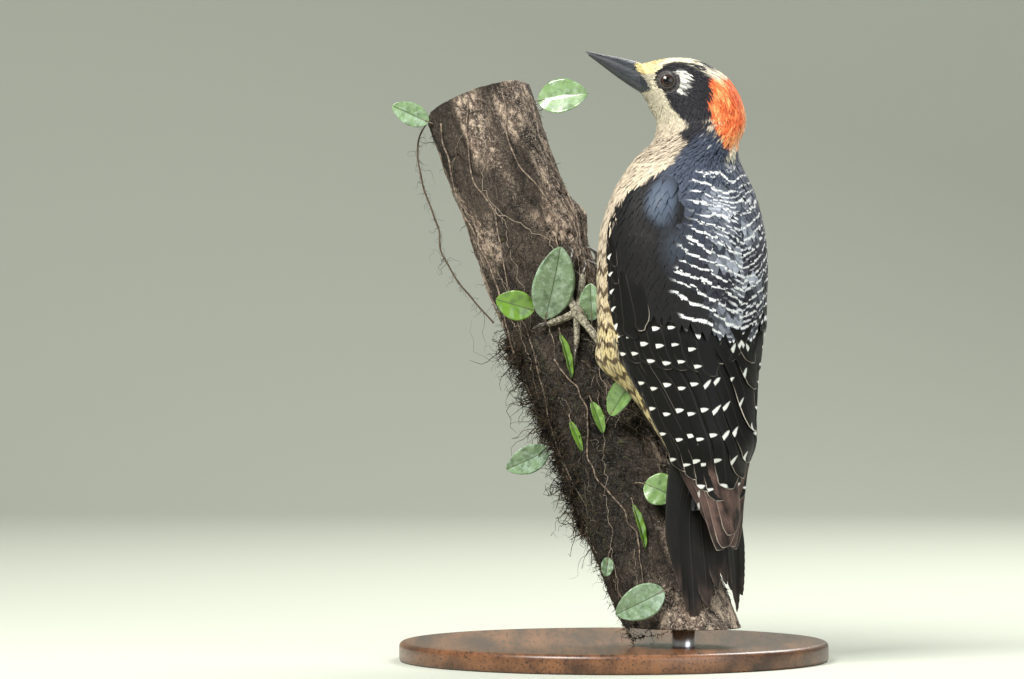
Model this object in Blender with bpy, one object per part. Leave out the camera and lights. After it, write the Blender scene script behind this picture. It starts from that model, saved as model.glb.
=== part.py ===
"""A female black-cheeked woodpecker clinging to a cut length of branch, on a plain display stand.

The bird is life size: 18.5 cm from bill to tail, with a folded wing of 11.3 cm. Its body is one
cane-shaped loft, from the root of the tail up through the neck and forward to the bill, parted into
trunk, neck and head by thin gaps. Run it with blender --background --python part.py.

Lengths are in millimetres until a mesh is made. The bird's own directions are back (away from the
branch), left and up; its centre line is a vertical axis, about which the head is turned to the left.
"""
import math

import bmesh
import bpy
import numpy as np
from mathutils import Matrix

MM = 0.001                        # metres in a millimetre
GAP = 0.35                        # clearance between neighbouring solids

# The stand
BASE_RADIUS = 66.0
BASE_HEIGHT = 6.0
BASE_BEVEL = 1.2
ROD_RADIUS = 3.5
ROD_HEIGHT = 6.0

# The bird's axis and the way it faces
AXIS_X = 20.5
AXIS_Y = -25.0
BODY_YAW = 47.0                   # degrees, the direction of its back from -Y towards +X
BODY_SEGMENTS = 36

# The branch: its centre line leans left and back as it rises, in the bird's plane of symmetry
PERCH_FOOT = BASE_HEIGHT + ROD_HEIGHT
PERCH_TOP = 171.0
PERCH_RADIUS = 17.0
PERCH_START_X = 26.0              # X of the centre line at floor height
PERCH_LEAN = -0.43                # change of X with height
PERCH_CURVE = 0.0002              # and its slow straightening
KNOT_HEIGHT = 130.0
KNOT_ANGLE = -43.0
KNOT_RISE = 3.2

# Sections of the body, from the root of the tail to the root of the bill:
# station, height, set-back, yaw, pitch (degrees), half depth, half width
TAIL_ROOT, CHEST_END, NECK_END, BILL_ROOT = 0.0, 9.0, 12.0, 21.0
BODY = [
    (0, 58.0, 11.0, 47, 0, 6.5, 10.5),
    (1, 67.0, 9.0, 47, 0, 10.5, 12.8),
    (2, 76.0, 5.5, 47, 0, 14.5, 15.5),
    (3, 85.0, 1.6, 47, 0, 18.0, 19.0),
    (4, 94.7, -0.1, 47, 0, 23.5, 24.6),
    (5, 104.4, -0.4, 47, 0, 24.5, 26.3),
    (6, 119.0, 0.0, 47, 0, 25.0, 27.0),
    (7, 132.0, 0.0, 47, 0, 23.7, 26.5),
    (8, 142.7, 0.4, 47, 0, 20.5, 23.5),
    (9, 147.9, 0.8, 50, 0, 18.6, 20.6),
    (10, 153.7, 1.4, 58, 0, 15.7, 16.8),
    (11, 158.8, 3.9, 72, 0, 13.2, 13.2),
    (12, 162.2, 5.3, 81, 1.5, 13.3, 11.9),
    (13, 165.6, 5.7, 87, 6, 13.5, 11.5),
    (14, 169.2, 4.9, 90, 13.3, 13.3, 11.2),
    (15, 173.0, 2.7, 90, 25, 12.7, 10.8),
    (16, 175.4, -0.15, 90, 34.5, 11.5, 10.3),
    (17, 177.2, -2.95, 90, 43.8, 10.2, 9.6),
    (18, 178.3, -5.8, 90, 52.7, 8.4, 8.6),
    (19, 178.85, -8.7, 90, 62, 6.6, 7.1),
    (20, 179.05, -11.2, 90, 74, 4.9, 5.2),
    (21, 178.9, -12.7, 90, 88, 4.15, 3.7),
]

# The folded wings: height, set-back, half depth and half width of the surface they lie in
WING_SURFACE = [
    (36.0, 10.0, 10.0, 12.0),
    (50.0, 9.5, 11.0, 13.0),
    (62.0, 8.8, 13.3, 14.6),
    (67.0, 8.6, 15.5, 16.5),
    (76.0, 5.6, 18.0, 19.0),
    (85.0, 2.8, 20.5, 21.3),
    (94.7, -0.1, 23.5, 24.6),
    (104.4, -0.4, 24.5, 26.3),
    (119.0, 0.0, 25.0, 27.0),
    (132.0, 0.0, 23.7, 26.5),
    (142.7, 0.4, 20.5, 23.5),
    (147.9, 0.8, 18.6, 20.6),
]
# Height, angle of the inner edge and of the leading edge, from the spine round to the left
WING_EDGES = [
    (36.0, 18, 26), (40.0, 7, 36), (50.0, 3, 60), (62.0, 2.5, 85), (76.0, 2.5, 92), (88.0, 4, 91),
    (96.0, 20, 94), (104.0, 36, 101), (113.0, 42, 110), (127.0, 45, 113), (138.0, 50, 116),
    (143.0, 57, 113), (145.5, 72, 100),
]
WING_TIP, WING_BEND = 36.0, 145.5
WING_THICK = 2.2
WING_EDGE_THICK = 0.8

# The tail: a split fan laid over the branch
TAIL_TOP = 58.0 - GAP
TAIL_HALF_WIDTH = 14.5
TAIL_ROOT_HALF_WIDTH = 10.8
TAIL_SPREAD_HEIGHT = 44.0
TAIL_HALF_THICK = 0.65
TAIL_ROOT_THICK = 5.3             # half thickness that the coverts add at the root
TAIL_ARCH = 0.012
TAIL_ROOT_SET_BACK = 11.0
TAIL_SET_BACK = 12.5               # least distance behind the bird's axis at the tips
# Place across the tail, from the right edge -1 to the left edge 1, and height of the feather's tip
TAIL_TIPS = [
    (-1.0, 25.0), (-0.85, 19.0), (-0.5, 21.0), (-0.12, 27.5), (0.12, 27.0), (0.4, 21.0),
    (0.72, 15.3), (0.88, 17.5), (1.0, 25.0),
]

# Head parts
EYE_RADIUS = 3.3
EYE_SET_BACK, EYE_ASIDE, EYE_HEIGHT = -4.8, 6.75, 177.9
BILL_LENGTH = 16.6
BILL_RISE = 7.7
BILL_WIDTH = 3.5                  # half width at the root
BILL_TIP_WIDTH = 0.32
BILL_SWELL = 0.5
UPPER_DEPTH, LOWER_DEPTH = 5.9, 2.4
GAPE_HEIGHT = 177.1

# Feet, as places on the branch: angle round it from the bird's side towards the left, and height
# of the point on the centre line
FOOT = (33.0, 99.7)
FOOT_RADIUS = 2.3
HEEL = (-21.5, 10.5, 95.5)        # back, left, up
TARSUS_RADIUS = 1.25
TOES = {
    "1": ([(37.5, 95.6), (41.0, 92.9), (44.0, 91.0)], 1.0),
    "2": ([(25.5, 102.6), (18.0, 106.5), (11.0, 110.2)], 1.15),
    "3": ([(34.5, 103.6), (27.0, 109.0), (19.5, 114.2)], 1.25),
    "4": ([(42.5, 99.4), (52.0, 99.3), (62.0, 99.6)], 1.2),
}
TOE_PADS = np.array([1.0, 0.92, 1.02, 0.87, 0.95, 0.75])    # radius along a toe, over its own
TOE_ARCH = 0.35
CLAW_START = 0.56
CLAW_LENGTH = 5.2
CLAW_RISE = 1.1
CLAW_TIP_LIFT = 0.75
CLAW_WIDTH = 0.72                 # root radius over the toe's
CLAW_TAPER = 0.86

COLOURS = {
    "black_feather": ((0.022, 0.024, 0.030), 0.55, 0.0),
    "barred_feather": ((0.16, 0.17, 0.19), 0.65, 0.0),
    "cream_feather": ((0.62, 0.55, 0.38), 0.70, 0.0),
    "bill": ((0.05, 0.06, 0.075), 0.38, 0.0),
    "eye": ((0.03, 0.012, 0.008), 0.08, 0.0),
    "leg_skin": ((0.30, 0.29, 0.21), 0.60, 0.0),
    "claw": ((0.10, 0.09, 0.075), 0.40, 0.0),
    "bark": ((0.17, 0.12, 0.09), 0.90, 0.0),
    "base_wood": ((0.12, 0.065, 0.035), 0.45, 0.0),
    "rod_steel": ((0.55, 0.55, 0.56), 0.35, 1.0),
}


def smooth(table, at):
    """Read a table of (key, values...) at new keys, along a cubic that passes through each row.

    Between two rows it is the Hermite cubic, whose slope at a row is the mean of the slopes on
    its two sides, each weighted by the length of the other side.
    """
    table = np.asarray(table, dtype=float)
    key, values = table[:, 0], table[:, 1:]
    step = np.diff(key)[:, None]
    rise = np.diff(values, axis=0) / step
    inner = (rise[:-1] * step[1:] + rise[1:] * step[:-1]) / (step[:-1] + step[1:])
    slope = np.vstack([rise[:1], inner, rise[-1:]])
    at = np.clip(np.atleast_1d(np.asarray(at, dtype=float)), key[0], key[-1])
    row = np.clip(np.searchsorted(key, at, side="right") - 1, 0, len(step) - 1)
    width = step[row]
    t = (at[:, None] - key[row][:, None]) / width
    start = values[row] * (2 * t**3 - 3 * t**2 + 1) + slope[row] * width * (t**3 - 2 * t**2 + t)
    end = values[row + 1] * (3 * t**2 - 2 * t**3) + slope[row + 1] * width * (t**3 - t**2)
    return start + end


def ease(low, high, value):
    """Go smoothly from 0 at low to 1 at high."""
    t = np.clip((value - low) / (high - low), 0.0, 1.0)
    return t * t * (3 - 2 * t)


def directions(yaw):
    """The bird's back and left directions, as level unit vectors, for a yaw in degrees."""
    turn = math.radians(yaw)
    back = np.array([math.sin(turn), -math.cos(turn), 0.0])
    left = np.array([-math.cos(turn), -math.sin(turn), 0.0])
    return back, left


UP = np.array([0.0, 0.0, 1.0])
BACK, LEFT = directions(BODY_YAW)
AXIS = np.array([AXIS_X, AXIS_Y, 0.0])


def place(back, left, up):
    """World position of a point given in the trunk's own directions."""
    return AXIS + back * BACK + left * LEFT + up * UP


def get_material(name):
    """The Principled material of that name, made when it is first asked for."""
    found = bpy.data.materials.get(name)
    if found:
        return found
    colour, roughness, metallic = COLOURS[name]
    material = bpy.data.materials.new(name)
    material.use_nodes = True
    shader = material.node_tree.nodes["Principled BSDF"]
    shader.inputs["Base Color"].default_value = (*colour, 1.0)
    shader.inputs["Roughness"].default_value = roughness
    shader.inputs["Metallic"].default_value = metallic
    return material


def finish_object(name, work, material):
    """Put a bmesh, in millimetres, into a new smooth-shaded object of the scene, in metres."""
    bmesh.ops.recalc_face_normals(work, faces=work.faces)
    bmesh.ops.scale(work, vec=(MM, MM, MM), verts=work.verts)
    mesh = bpy.data.meshes.new(name)
    work.to_mesh(mesh)
    work.free()
    mesh.shade_smooth()
    mesh.set_sharp_from_angle(angle=math.radians(50))
    mesh.materials.append(get_material(material))
    item = bpy.data.objects.new(name, mesh)
    bpy.context.scene.collection.objects.link(item)
    return item


def loft(rings):
    """Join closed rings of equally many points into one tube, with a face over each end."""
    work = bmesh.new()
    loops = [[work.verts.new(point) for point in ring] for ring in rings]
    count = len(loops[0])
    for near, far in zip(loops, loops[1:]):
        for i in range(count):
            j = (i + 1) % count
            work.faces.new((near[i], near[j], far[j], far[i]))
    work.faces.new(list(reversed(loops[0])))
    work.faces.new(loops[-1])
    return work


def tube(path, radii, sides):
    """Carry a circle of changing radius along a path that doesn't run straight up."""
    path = np.asarray(path, dtype=float)
    tangents = np.gradient(path, axis=0)
    tangents /= np.linalg.norm(tangents, axis=1)[:, None]
    side = np.cross(tangents[0], UP)
    rings = []
    angles = np.arange(sides) * 2 * math.pi / sides
    for point, tangent, radius in zip(path, tangents, radii):
        side = side - tangent * side.dot(tangent)
        side /= np.linalg.norm(side)
        other = np.cross(tangent, side)
        offset = np.outer(np.cos(angles), side) + np.outer(np.sin(angles), other)
        rings.append(point + offset * radius)
    return loft(rings)


def cut(target, cutter):
    """Subtract a hidden guide object from a solid."""
    cutter.hide_render = True
    cutter.display_type = "WIRE"
    modifier = target.modifiers.new("cut", "BOOLEAN")
    modifier.operation = "DIFFERENCE"
    modifier.object = cutter


# The body


def wing_edges(height):
    """Angles of the wing's inner and leading edges at each height."""
    edges = smooth(WING_EDGES, height)
    return edges[:, 0], edges[:, 1]


def wing_thickness(height, across):
    """Thickness of the folded wing: fullest along its middle, thin at its edges and its tip."""
    swell = np.sin(np.pi * np.clip(across, 0.0, 1.0)) ** 0.7
    body = ease(WING_TIP, 70.0, height) * 0.6 + 0.4
    body = body * (1.0 - 0.6 * ease(138.0, WING_BEND, height))
    return WING_EDGE_THICK + (WING_THICK - WING_EDGE_THICK) * swell * body


def wing_pocket(height, angle):
    """How deep the trunk is let in below the wing, at a height and angles in degrees."""
    inner, outer = wing_edges(height)
    aside = np.abs((angle + 180.0) % 360.0 - 180.0)
    across = (aside - inner) / (outer - inner)
    margin = 360.0 / BODY_SEGMENTS
    under = (aside > inner - margin) & (aside < outer + margin)
    fade = ease(82.0, 90.0, height) * (1.0 - ease(146.0, 147.6, height))
    return np.where(under, wing_thickness(height, across) + GAP + 0.1, 0.0) * fade


def body_ring(station, segments=BODY_SEGMENTS, grow=0.0):
    """One closed section of the body: an ellipse in a plane turned by yaw and tipped by pitch.

    A point is the centre, plus half depth times cosine along the outward direction, plus half
    width times sine along the left direction, less the pocket in which the wing lies.
    """
    height, set_back, yaw, pitch, depth, width = smooth(BODY, station)[0]
    back, left = directions(yaw)
    tip = math.radians(pitch)
    outward = math.cos(tip) * back + math.sin(tip) * UP
    angle = np.arange(segments) * 360.0 / segments
    pocket = wing_pocket(height, angle) if station < CHEST_END else np.zeros(segments)
    turn = np.radians(angle)
    centre = AXIS + set_back * back + height * UP
    along = (depth + grow - pocket) * np.cos(turn)
    aside = (width + grow - pocket) * np.sin(turn)
    return centre + np.outer(along, outward) + np.outer(aside, left)


def make_body():
    """The trunk, the neck and the head, each a length of the same loft."""
    neck_start = CHEST_END + 0.06
    trunk_stations = np.linspace(TAIL_ROOT, CHEST_END, 22)
    trunk = finish_object("trunk", loft([body_ring(s) for s in trunk_stations]), "barred_feather")
    neck_stations = np.linspace(neck_start, NECK_END - 0.05, 6)
    finish_object("neck", loft([body_ring(s) for s in neck_stations]), "cream_feather")
    head_stations = np.linspace(NECK_END + 0.06, BILL_ROOT, 14)
    head = finish_object("head", loft([body_ring(s, 28) for s in head_stations]), "black_feather")
    return trunk, head


# The eyes and the bill

HEAD_BACK, HEAD_LEFT = directions(90.0)


def make_eyes(head):
    """Two eyeballs, each sunk in a socket cut from the head, with a pole pointing aside."""
    quarter = Matrix.Rotation(math.radians(90), 3, "X")
    for name, side in (("left", 1), ("right", -1)):
        centre = AXIS + EYE_SET_BACK * HEAD_BACK + side * EYE_ASIDE * HEAD_LEFT + EYE_HEIGHT * UP
        for part, radius in (("eye_" + name, EYE_RADIUS), ("socket_" + name, EYE_RADIUS + GAP)):
            work = bmesh.new()
            bmesh.ops.create_uvsphere(work, u_segments=14, v_segments=8, radius=radius)
            bmesh.ops.rotate(work, cent=(0, 0, 0), verts=work.verts, matrix=quarter)
            bmesh.ops.translate(work, vec=centre, verts=work.verts)
            item = finish_object(part, work, "eye")
            if part.startswith("socket"):
                cut(head, item)


def bill_ring(along, upper):
    """One section of a half of the bill: a flat side on the gape, and a rounded back.

    The height over the gape falls in a straight line to the tip, a little swollen half way.
    """
    root = smooth(BODY, BILL_ROOT)[0]
    lean = math.radians(root[3])
    upward = math.cos(lean) * HEAD_BACK + math.sin(lean) * UP
    rest = 1.0 - along
    width = BILL_TIP_WIDTH + (BILL_WIDTH - BILL_TIP_WIDTH) * rest**0.9
    root_depth, tip_depth = (UPPER_DEPTH, 0.45) if upper else (LOWER_DEPTH, 0.3)
    swell = BILL_SWELL * math.sin(math.pi * along) * rest
    depth = tip_depth + (root_depth - tip_depth) * rest + swell
    turn = np.linspace(0.0, math.pi, 9)
    sign = 1.0 if upper else -1.0
    gape_rise = GAPE_HEIGHT - root[0] + along * (BILL_RISE + root[0] - GAPE_HEIGHT)
    centre = AXIS + (root[1] - GAP - along * BILL_LENGTH) * HEAD_BACK + root[0] * UP
    centre = centre + gape_rise * upward
    height = sign * (GAP / 2 + depth * np.sin(turn) ** 0.85)
    return centre + np.outer(width * np.cos(turn), HEAD_LEFT) + np.outer(height, upward)


def make_bill():
    """The upper and the lower half of the bill, parted by a thin gape."""
    for name, upper, end in (("bill_upper", True, 1.0), ("bill_lower", False, 0.95)):
        rings = [bill_ring(t, upper) for t in np.linspace(0.0, end, 11)]
        finish_object(name, loft(rings), "bill")


# The wings and the tail


def make_wings():
    """Each folded wing: a curved plate over the side of the body, free below the rump."""
    across = np.linspace(0.0, 1.0, 9)
    heights = np.concatenate([np.linspace(WING_TIP, 62.0, 7), np.linspace(67.0, WING_BEND, 13)])
    for name, side in (("wing_left", 1), ("wing_right", -1)):
        rings = []
        for height in heights:
            inner, outer = wing_edges(height)
            turn = np.radians(inner + (outer - inner) * across)
            set_back, depth, width = smooth(WING_SURFACE, height)[0]
            thick = wing_thickness(height, across)
            faces = []
            for inset in (0.0, thick):
                back = set_back + (depth - inset) * np.cos(turn)
                left = side * (width - inset) * np.sin(turn)
                faces.append(AXIS + np.outer(back, BACK) + np.outer(left, LEFT) + height * UP)
            rings.append(np.vstack([faces[0], faces[1][::-1]]))
        finish_object(name, loft(rings), "black_feather")


def perch_centre(height):
    """Back distance of the branch's centre line from the bird's axis."""
    x = PERCH_START_X + PERCH_LEAN * height + PERCH_CURVE * height * height
    return (x - AXIS_X) / BACK[0]


def perch_slope(height):
    """How far the centre line moves back for each millimetre up, and its length for that rise."""
    lean = (PERCH_LEAN + 2 * PERCH_CURVE * height) / BACK[0]
    return lean, math.hypot(1.0, lean)


def perch_outward(height):
    """Unit vector square to the branch and to left, towards the bird."""
    lean, length = perch_slope(height)
    return np.cross((lean * BACK + UP) / length, LEFT)


def perch_point(angle, height, above=0.0):
    """A point on or above the branch: angle in degrees round it from the bird's side to the left."""
    outward = perch_outward(height)
    turn = math.radians(angle)
    centre = place(perch_centre(height), 0.0, height)
    return centre + (PERCH_RADIUS + above) * (math.cos(turn) * outward + math.sin(turn) * LEFT)


def tail_column(across):
    """The closed outline of the tail at one place across it: down its back, then up its underside."""
    low = smooth(TAIL_TIPS, across)[0][0]
    height = np.linspace(TAIL_TOP, low, 10)
    spread = 1.0 - ease(TAIL_SPREAD_HEIGHT, TAIL_TOP, height)
    half_width = TAIL_ROOT_HALF_WIDTH + (TAIL_HALF_WIDTH - TAIL_ROOT_HALF_WIDTH) * spread
    left = across * half_width
    tip_left = min(abs(left[-1]), PERCH_RADIUS - 0.5)
    reach = perch_slope(low)[1] * math.sqrt(PERCH_RADIUS**2 - tip_left**2)
    bark = perch_centre(low) + reach + TAIL_HALF_THICK + 3 * GAP
    tip = max(bark, TAIL_SET_BACK)
    down = (TAIL_TOP - height) / (TAIL_TOP - low)
    middle = (TAIL_ROOT_SET_BACK - TAIL_ARCH * left**2) * (1 - down) + tip * down
    coverts = TAIL_ROOT_THICK * math.sqrt(max(0.0, 1.0 - across**2))
    half = TAIL_HALF_THICK + coverts * ease(TAIL_SPREAD_HEIGHT, TAIL_TOP, height)
    top = AXIS + np.outer(middle + half, BACK) + np.outer(left, LEFT) + np.outer(height, UP)
    under = AXIS + np.outer(middle - half, BACK) + np.outer(left, LEFT) + np.outer(height, UP)
    return np.vstack([top, under[::-1]])


def make_tail():
    """The tail: a fan of stiff feathers, parted in the middle where it presses on the branch."""
    columns = np.linspace(-1.0, 1.0, 17)
    finish_object("tail", loft([tail_column(t) for t in columns]), "black_feather")


# The legs


def bezier(points, count):
    """Points along a quadratic curve through the first, near the middle and through the last point."""
    first, middle, last = (np.asarray(p, dtype=float) for p in points)
    t = np.linspace(0.0, 1.0, count)[:, None]
    pull = 2 * middle - 0.5 * (first + last)
    return first * (1 - t) ** 2 + pull * 2 * t * (1 - t) + last * t**2


def make_leg(side, name):
    """One leg: a bare tarsus with its foot pad, and the feathered thigh, which is returned."""
    heel = place(HEEL[0], side * HEEL[1], HEEL[2])
    foot = perch_point(side * FOOT[0], FOOT[1], FOOT_RADIUS + GAP)
    inward = (foot - heel) / np.linalg.norm(foot - heel)
    shank = np.array([heel + (foot - heel) * t for t in np.linspace(0.16, 1.0, 7)])
    radii = [1.3, 1.2, 1.15, 1.2, 1.5, 2.1, FOOT_RADIUS]
    shank = np.vstack([shank, foot + inward * 0.9])
    finish_object("tarsus_" + name, tube(shank, radii + [1.5], 10), "leg_skin")

    hip = place(-6.5, side * 13.0, 88.0)
    ankle = heel + (foot - heel) * 0.09
    thigh_path = bezier([hip, place(-14.5, side * 13.0, 93.5), ankle], 7)
    thigh_radii = [6.0, 6.4, 6.3, 5.7, 4.6, 3.3, 1.9]
    thigh = finish_object("thigh_" + name, tube(thigh_path, thigh_radii, 12), "cream_feather")
    return thigh


def make_toes(side, name):
    """Toes laid on the branch, each with a hooked claw whose point comes down on the bark."""
    toe_steps = np.linspace(0.0, 1.0, len(TOE_PADS))
    claw_steps = np.linspace(0.0, 1.0, 6)
    for toe, (route, radius) in TOES.items():
        above = radius + GAP
        spots = bezier(route, len(TOE_PADS))
        lifts = above + TOE_ARCH * np.sin(math.pi * toe_steps)
        path = [perch_point(side * a, h, lift) for (a, h), lift in zip(spots, lifts)]
        finish_object("toe%s_%s" % (toe, name), tube(path, radius * TOE_PADS, 8), "leg_skin")

        heading = spots[-1] - spots[-2]
        heading /= math.hypot(math.radians(heading[0]) * PERCH_RADIUS, heading[1])
        spots = spots[-1] + np.outer(CLAW_START + CLAW_LENGTH * claw_steps, heading)
        arch = CLAW_RISE * np.sin(math.pi * claw_steps**0.8)
        lifts = above * (1 - claw_steps) + CLAW_TIP_LIFT * claw_steps + arch
        path = [perch_point(side * a, h, lift) for (a, h), lift in zip(spots, lifts)]
        radii = radius * CLAW_WIDTH * (1 - (CLAW_TAPER * claw_steps) ** 1.3)
        finish_object("claw%s_%s" % (toe, name), tube(path, radii, 6), "claw")


def make_legs():
    """Both legs; the thighs are trimmed to the trunk with a slightly larger copy of it."""
    stations = np.linspace(1.0, 6.0, 15)
    for side, name in ((1, "left"), (-1, "right")):
        thigh = make_leg(side, name)
        grown = loft([body_ring(s, grow=GAP) for s in stations])
        guide = finish_object("trunk_guide_" + name, grown, "cream_feather")
        cut(thigh, guide)
        make_toes(side, name)


# The branch and the stand


def make_perch():
    """The cut branch: a tube with slow swellings and a knot, sawn level at its foot."""
    sides = 24
    angles = np.arange(sides) * 360.0 / sides
    rings = []
    for height in np.linspace(-6.0, PERCH_TOP, 25):
        turn = np.radians(angles)
        swell = -0.45 + 0.25 * np.sin(3 * turn + height * 0.05) + 0.2 * np.sin(2 * turn - height * 0.09)
        offset = (angles - KNOT_ANGLE + 180.0) % 360.0 - 180.0
        swell += KNOT_RISE * np.exp(-(offset / 17.0) ** 2 - ((height - KNOT_HEIGHT) / 5.5) ** 2)
        rings.append([perch_point(a, height, s) for a, s in zip(angles, swell)])
    work = loft(rings)
    everything = work.verts[:] + work.edges[:] + work.faces[:]
    result = bmesh.ops.bisect_plane(
        work, geom=everything, plane_co=(0, 0, PERCH_FOOT), plane_no=(0, 0, 1), clear_inner=True)
    rim = [part for part in result["geom_cut"] if isinstance(part, bmesh.types.BMEdge)]
    bmesh.ops.contextual_create(work, geom=rim)
    finish_object("perch", work, "bark")


def disc(radius, low, high, centre, sides):
    """An upright cylinder between two heights."""
    turn = np.arange(sides) * 2 * math.pi / sides
    circle = np.column_stack([radius * np.cos(turn), radius * np.sin(turn), np.zeros(sides)])
    middle = np.array([centre[0], centre[1], 0.0])
    return loft([circle + middle + low * UP, circle + middle + high * UP])


def make_stand():
    """A round wooden base with a softened top edge, and a short steel rod up to the branch."""
    base = finish_object("stand_base", disc(BASE_RADIUS, 0.0, BASE_HEIGHT, (0, 0), 48), "base_wood")
    bevel = base.modifiers.new("soft_edge", "BEVEL")
    bevel.width = BASE_BEVEL * MM
    bevel.segments = 2
    bevel.limit_method = "ANGLE"
    foot = place(perch_centre(PERCH_FOOT), 0.0, 0.0)
    rod = disc(ROD_RADIUS, BASE_HEIGHT + GAP, PERCH_FOOT - GAP, foot, 24)
    finish_object("stand_rod", rod, "rod_steel")


def main():
    for item in list(bpy.data.objects):
        bpy.data.objects.remove(item, do_unlink=True)
    _, head = make_body()
    make_eyes(head)
    make_bill()
    make_wings()
    make_tail()
    make_legs()
    make_perch()
    make_stand()


main()
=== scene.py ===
# %% [markdown]
# # A woodpecker on a cut branch
# A museum model of a female black-cheeked woodpecker. The solids of the frame give every size and
# place; this notebook lays skin, feathers, horn, bark and light over them, one step at a time.

# %% Load the frame
import itertools
import math

import bpy
import numpy as np
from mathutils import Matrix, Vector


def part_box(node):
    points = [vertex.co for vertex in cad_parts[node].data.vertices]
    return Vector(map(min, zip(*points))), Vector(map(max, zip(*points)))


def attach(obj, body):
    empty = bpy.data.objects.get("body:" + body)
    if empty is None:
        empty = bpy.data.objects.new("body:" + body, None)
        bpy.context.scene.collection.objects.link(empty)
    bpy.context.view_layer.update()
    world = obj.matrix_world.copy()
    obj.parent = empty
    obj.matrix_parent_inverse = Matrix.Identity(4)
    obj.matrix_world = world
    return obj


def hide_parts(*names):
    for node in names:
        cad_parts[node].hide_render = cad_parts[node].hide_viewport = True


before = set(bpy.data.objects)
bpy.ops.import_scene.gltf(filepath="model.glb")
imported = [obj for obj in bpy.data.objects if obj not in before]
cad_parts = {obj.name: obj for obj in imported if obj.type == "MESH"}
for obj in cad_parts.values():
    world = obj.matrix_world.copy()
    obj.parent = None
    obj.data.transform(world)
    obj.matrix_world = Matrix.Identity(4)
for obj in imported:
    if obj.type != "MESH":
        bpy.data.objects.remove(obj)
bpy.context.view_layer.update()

# %% [markdown]
# ## Sizes
# A bird's body is one bent tube, so its skin could be sculpted, carved from metaballs, or lofted. A
# loft is chosen, because every feather can then be placed by two numbers: how far along the tube
# its root is, and at what angle round it. All lengths are millimetres until a mesh is made.

# %% Sizes taken from the frame
MM = 0.001


def box_mm(node):
    """Lowest and highest corner of a solid, in millimetres."""
    return [np.array(corner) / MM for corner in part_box(node)]


BASE_LOW, BASE_HIGH = box_mm("stand_base")
ROD_LOW, ROD_HIGH = box_mm("stand_rod")
PERCH_HIGH = box_mm("perch")[1]
SIDES = (("left", 1), ("right", -1))
UP = np.array([0.0, 0.0, 1.0])
AXIS = np.array([20.5, -25.0, 0.0])
BODY_YAW = 47.0


def directions(yaw):
    """The bird's back and left directions for a yaw in degrees: level unit vectors."""
    turn = np.radians(yaw)
    zero = np.zeros_like(turn)
    back = np.stack([np.sin(turn), -np.cos(turn), zero], -1)
    left = np.stack([-np.cos(turn), -np.sin(turn), zero], -1)
    return back, left


BACK, LEFT = directions(BODY_YAW)
HEAD_BACK, HEAD_LEFT = directions(90.0)

# Station, height, set-back, yaw, pitch, half depth, half width: the frame's own sections of the body,
# with one more below the root of the tail for the coverts that run out over it.
BODY = [
    (-1, 48.0, 11.8, 47, 0, 3.0, 9.0), (0, 58.0, 11.0, 47, 0, 6.5, 10.5), (1, 67.0, 9.0, 47, 0, 10.5, 12.8),
    (2, 76.0, 5.5, 47, 0, 14.5, 15.5), (3, 85.0, 1.6, 47, 0, 18.0, 19.0),
    (4, 94.7, -0.1, 47, 0, 23.5, 24.6), (5, 104.4, -0.4, 47, 0, 24.5, 26.3),
    (6, 119.0, 0.0, 47, 0, 25.0, 27.0), (7, 132.0, 0.0, 47, 0, 23.7, 26.5),
    (8, 142.7, 0.4, 47, 0, 20.5, 23.5), (9, 147.9, 0.8, 50, 0, 18.6, 20.6),
    (10, 153.7, 1.4, 58, 0, 15.7, 16.8), (11, 158.8, 3.9, 72, 0, 13.2, 13.2),
    (12, 162.2, 5.3, 81, 1.5, 13.3, 11.9), (13, 165.6, 5.7, 87, 6, 13.5, 11.5),
    (14, 169.2, 4.9, 90, 13.3, 13.3, 11.2), (15, 173.0, 2.7, 90, 25, 12.7, 10.8),
    (16, 175.4, -0.15, 90, 34.5, 11.5, 10.3), (17, 177.2, -2.95, 90, 43.8, 10.2, 9.6),
    (18, 178.3, -5.8, 90, 52.7, 8.4, 8.6), (19, 178.85, -8.7, 90, 62, 6.6, 7.1),
    (20, 179.05, -11.2, 90, 74, 4.9, 5.2), (21, 178.9, -12.7, 90, 88, 4.15, 3.7),
    (22, 178.8, -13.9, 90, 90, 3.7, 3.2),
]
# Height, set-back, half depth, half width of the surface in which the folded wings lie.
WING = [
    (30.0, 10.3, 9.6, 11.6), (36.0, 10.0, 10.0, 12.0), (50.0, 9.5, 11.0, 13.0), (62.0, 8.8, 13.3, 14.6),
    (67.0, 8.6, 15.5, 16.5), (76.0, 5.6, 18.0, 19.0), (85.0, 2.8, 20.5, 21.3), (94.7, -0.1, 23.5, 24.6),
    (104.4, -0.4, 24.5, 26.3), (119.0, 0.0, 25.0, 27.0), (132.0, 0.0, 23.7, 26.5), (142.7, 0.4, 20.5, 23.5),
    (147.9, 0.8, 18.6, 20.6), (153.7, 1.4, 15.7, 16.8),
]
# Height, inner edge and leading edge of the wing, in degrees from the spine.
WING_EDGES = [
    (36.0, 18, 26), (40.0, 7, 36), (50.0, 3, 60), (62.0, 2.5, 85), (76.0, 2.5, 92), (88.0, 4, 91),
    (96.0, 20, 94), (104.0, 36, 101), (113.0, 42, 110), (127.0, 45, 113), (138.0, 50, 116),
    (143.0, 57, 113), (146.0, 66, 104),
]
print("stand is %.0f mm across, branch reaches %.0f mm" % (BASE_HIGH[0] - BASE_LOW[0], PERCH_HIGH[2]))

# %% [markdown]
# ## Curves and noise
# Tables need a smooth reading, and skin, bark and markings need irregularity that is the same on
# every run. Blender has noise, but a few lines of numpy work on whole arrays at once.

# %% Reading tables, easing and noise


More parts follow.
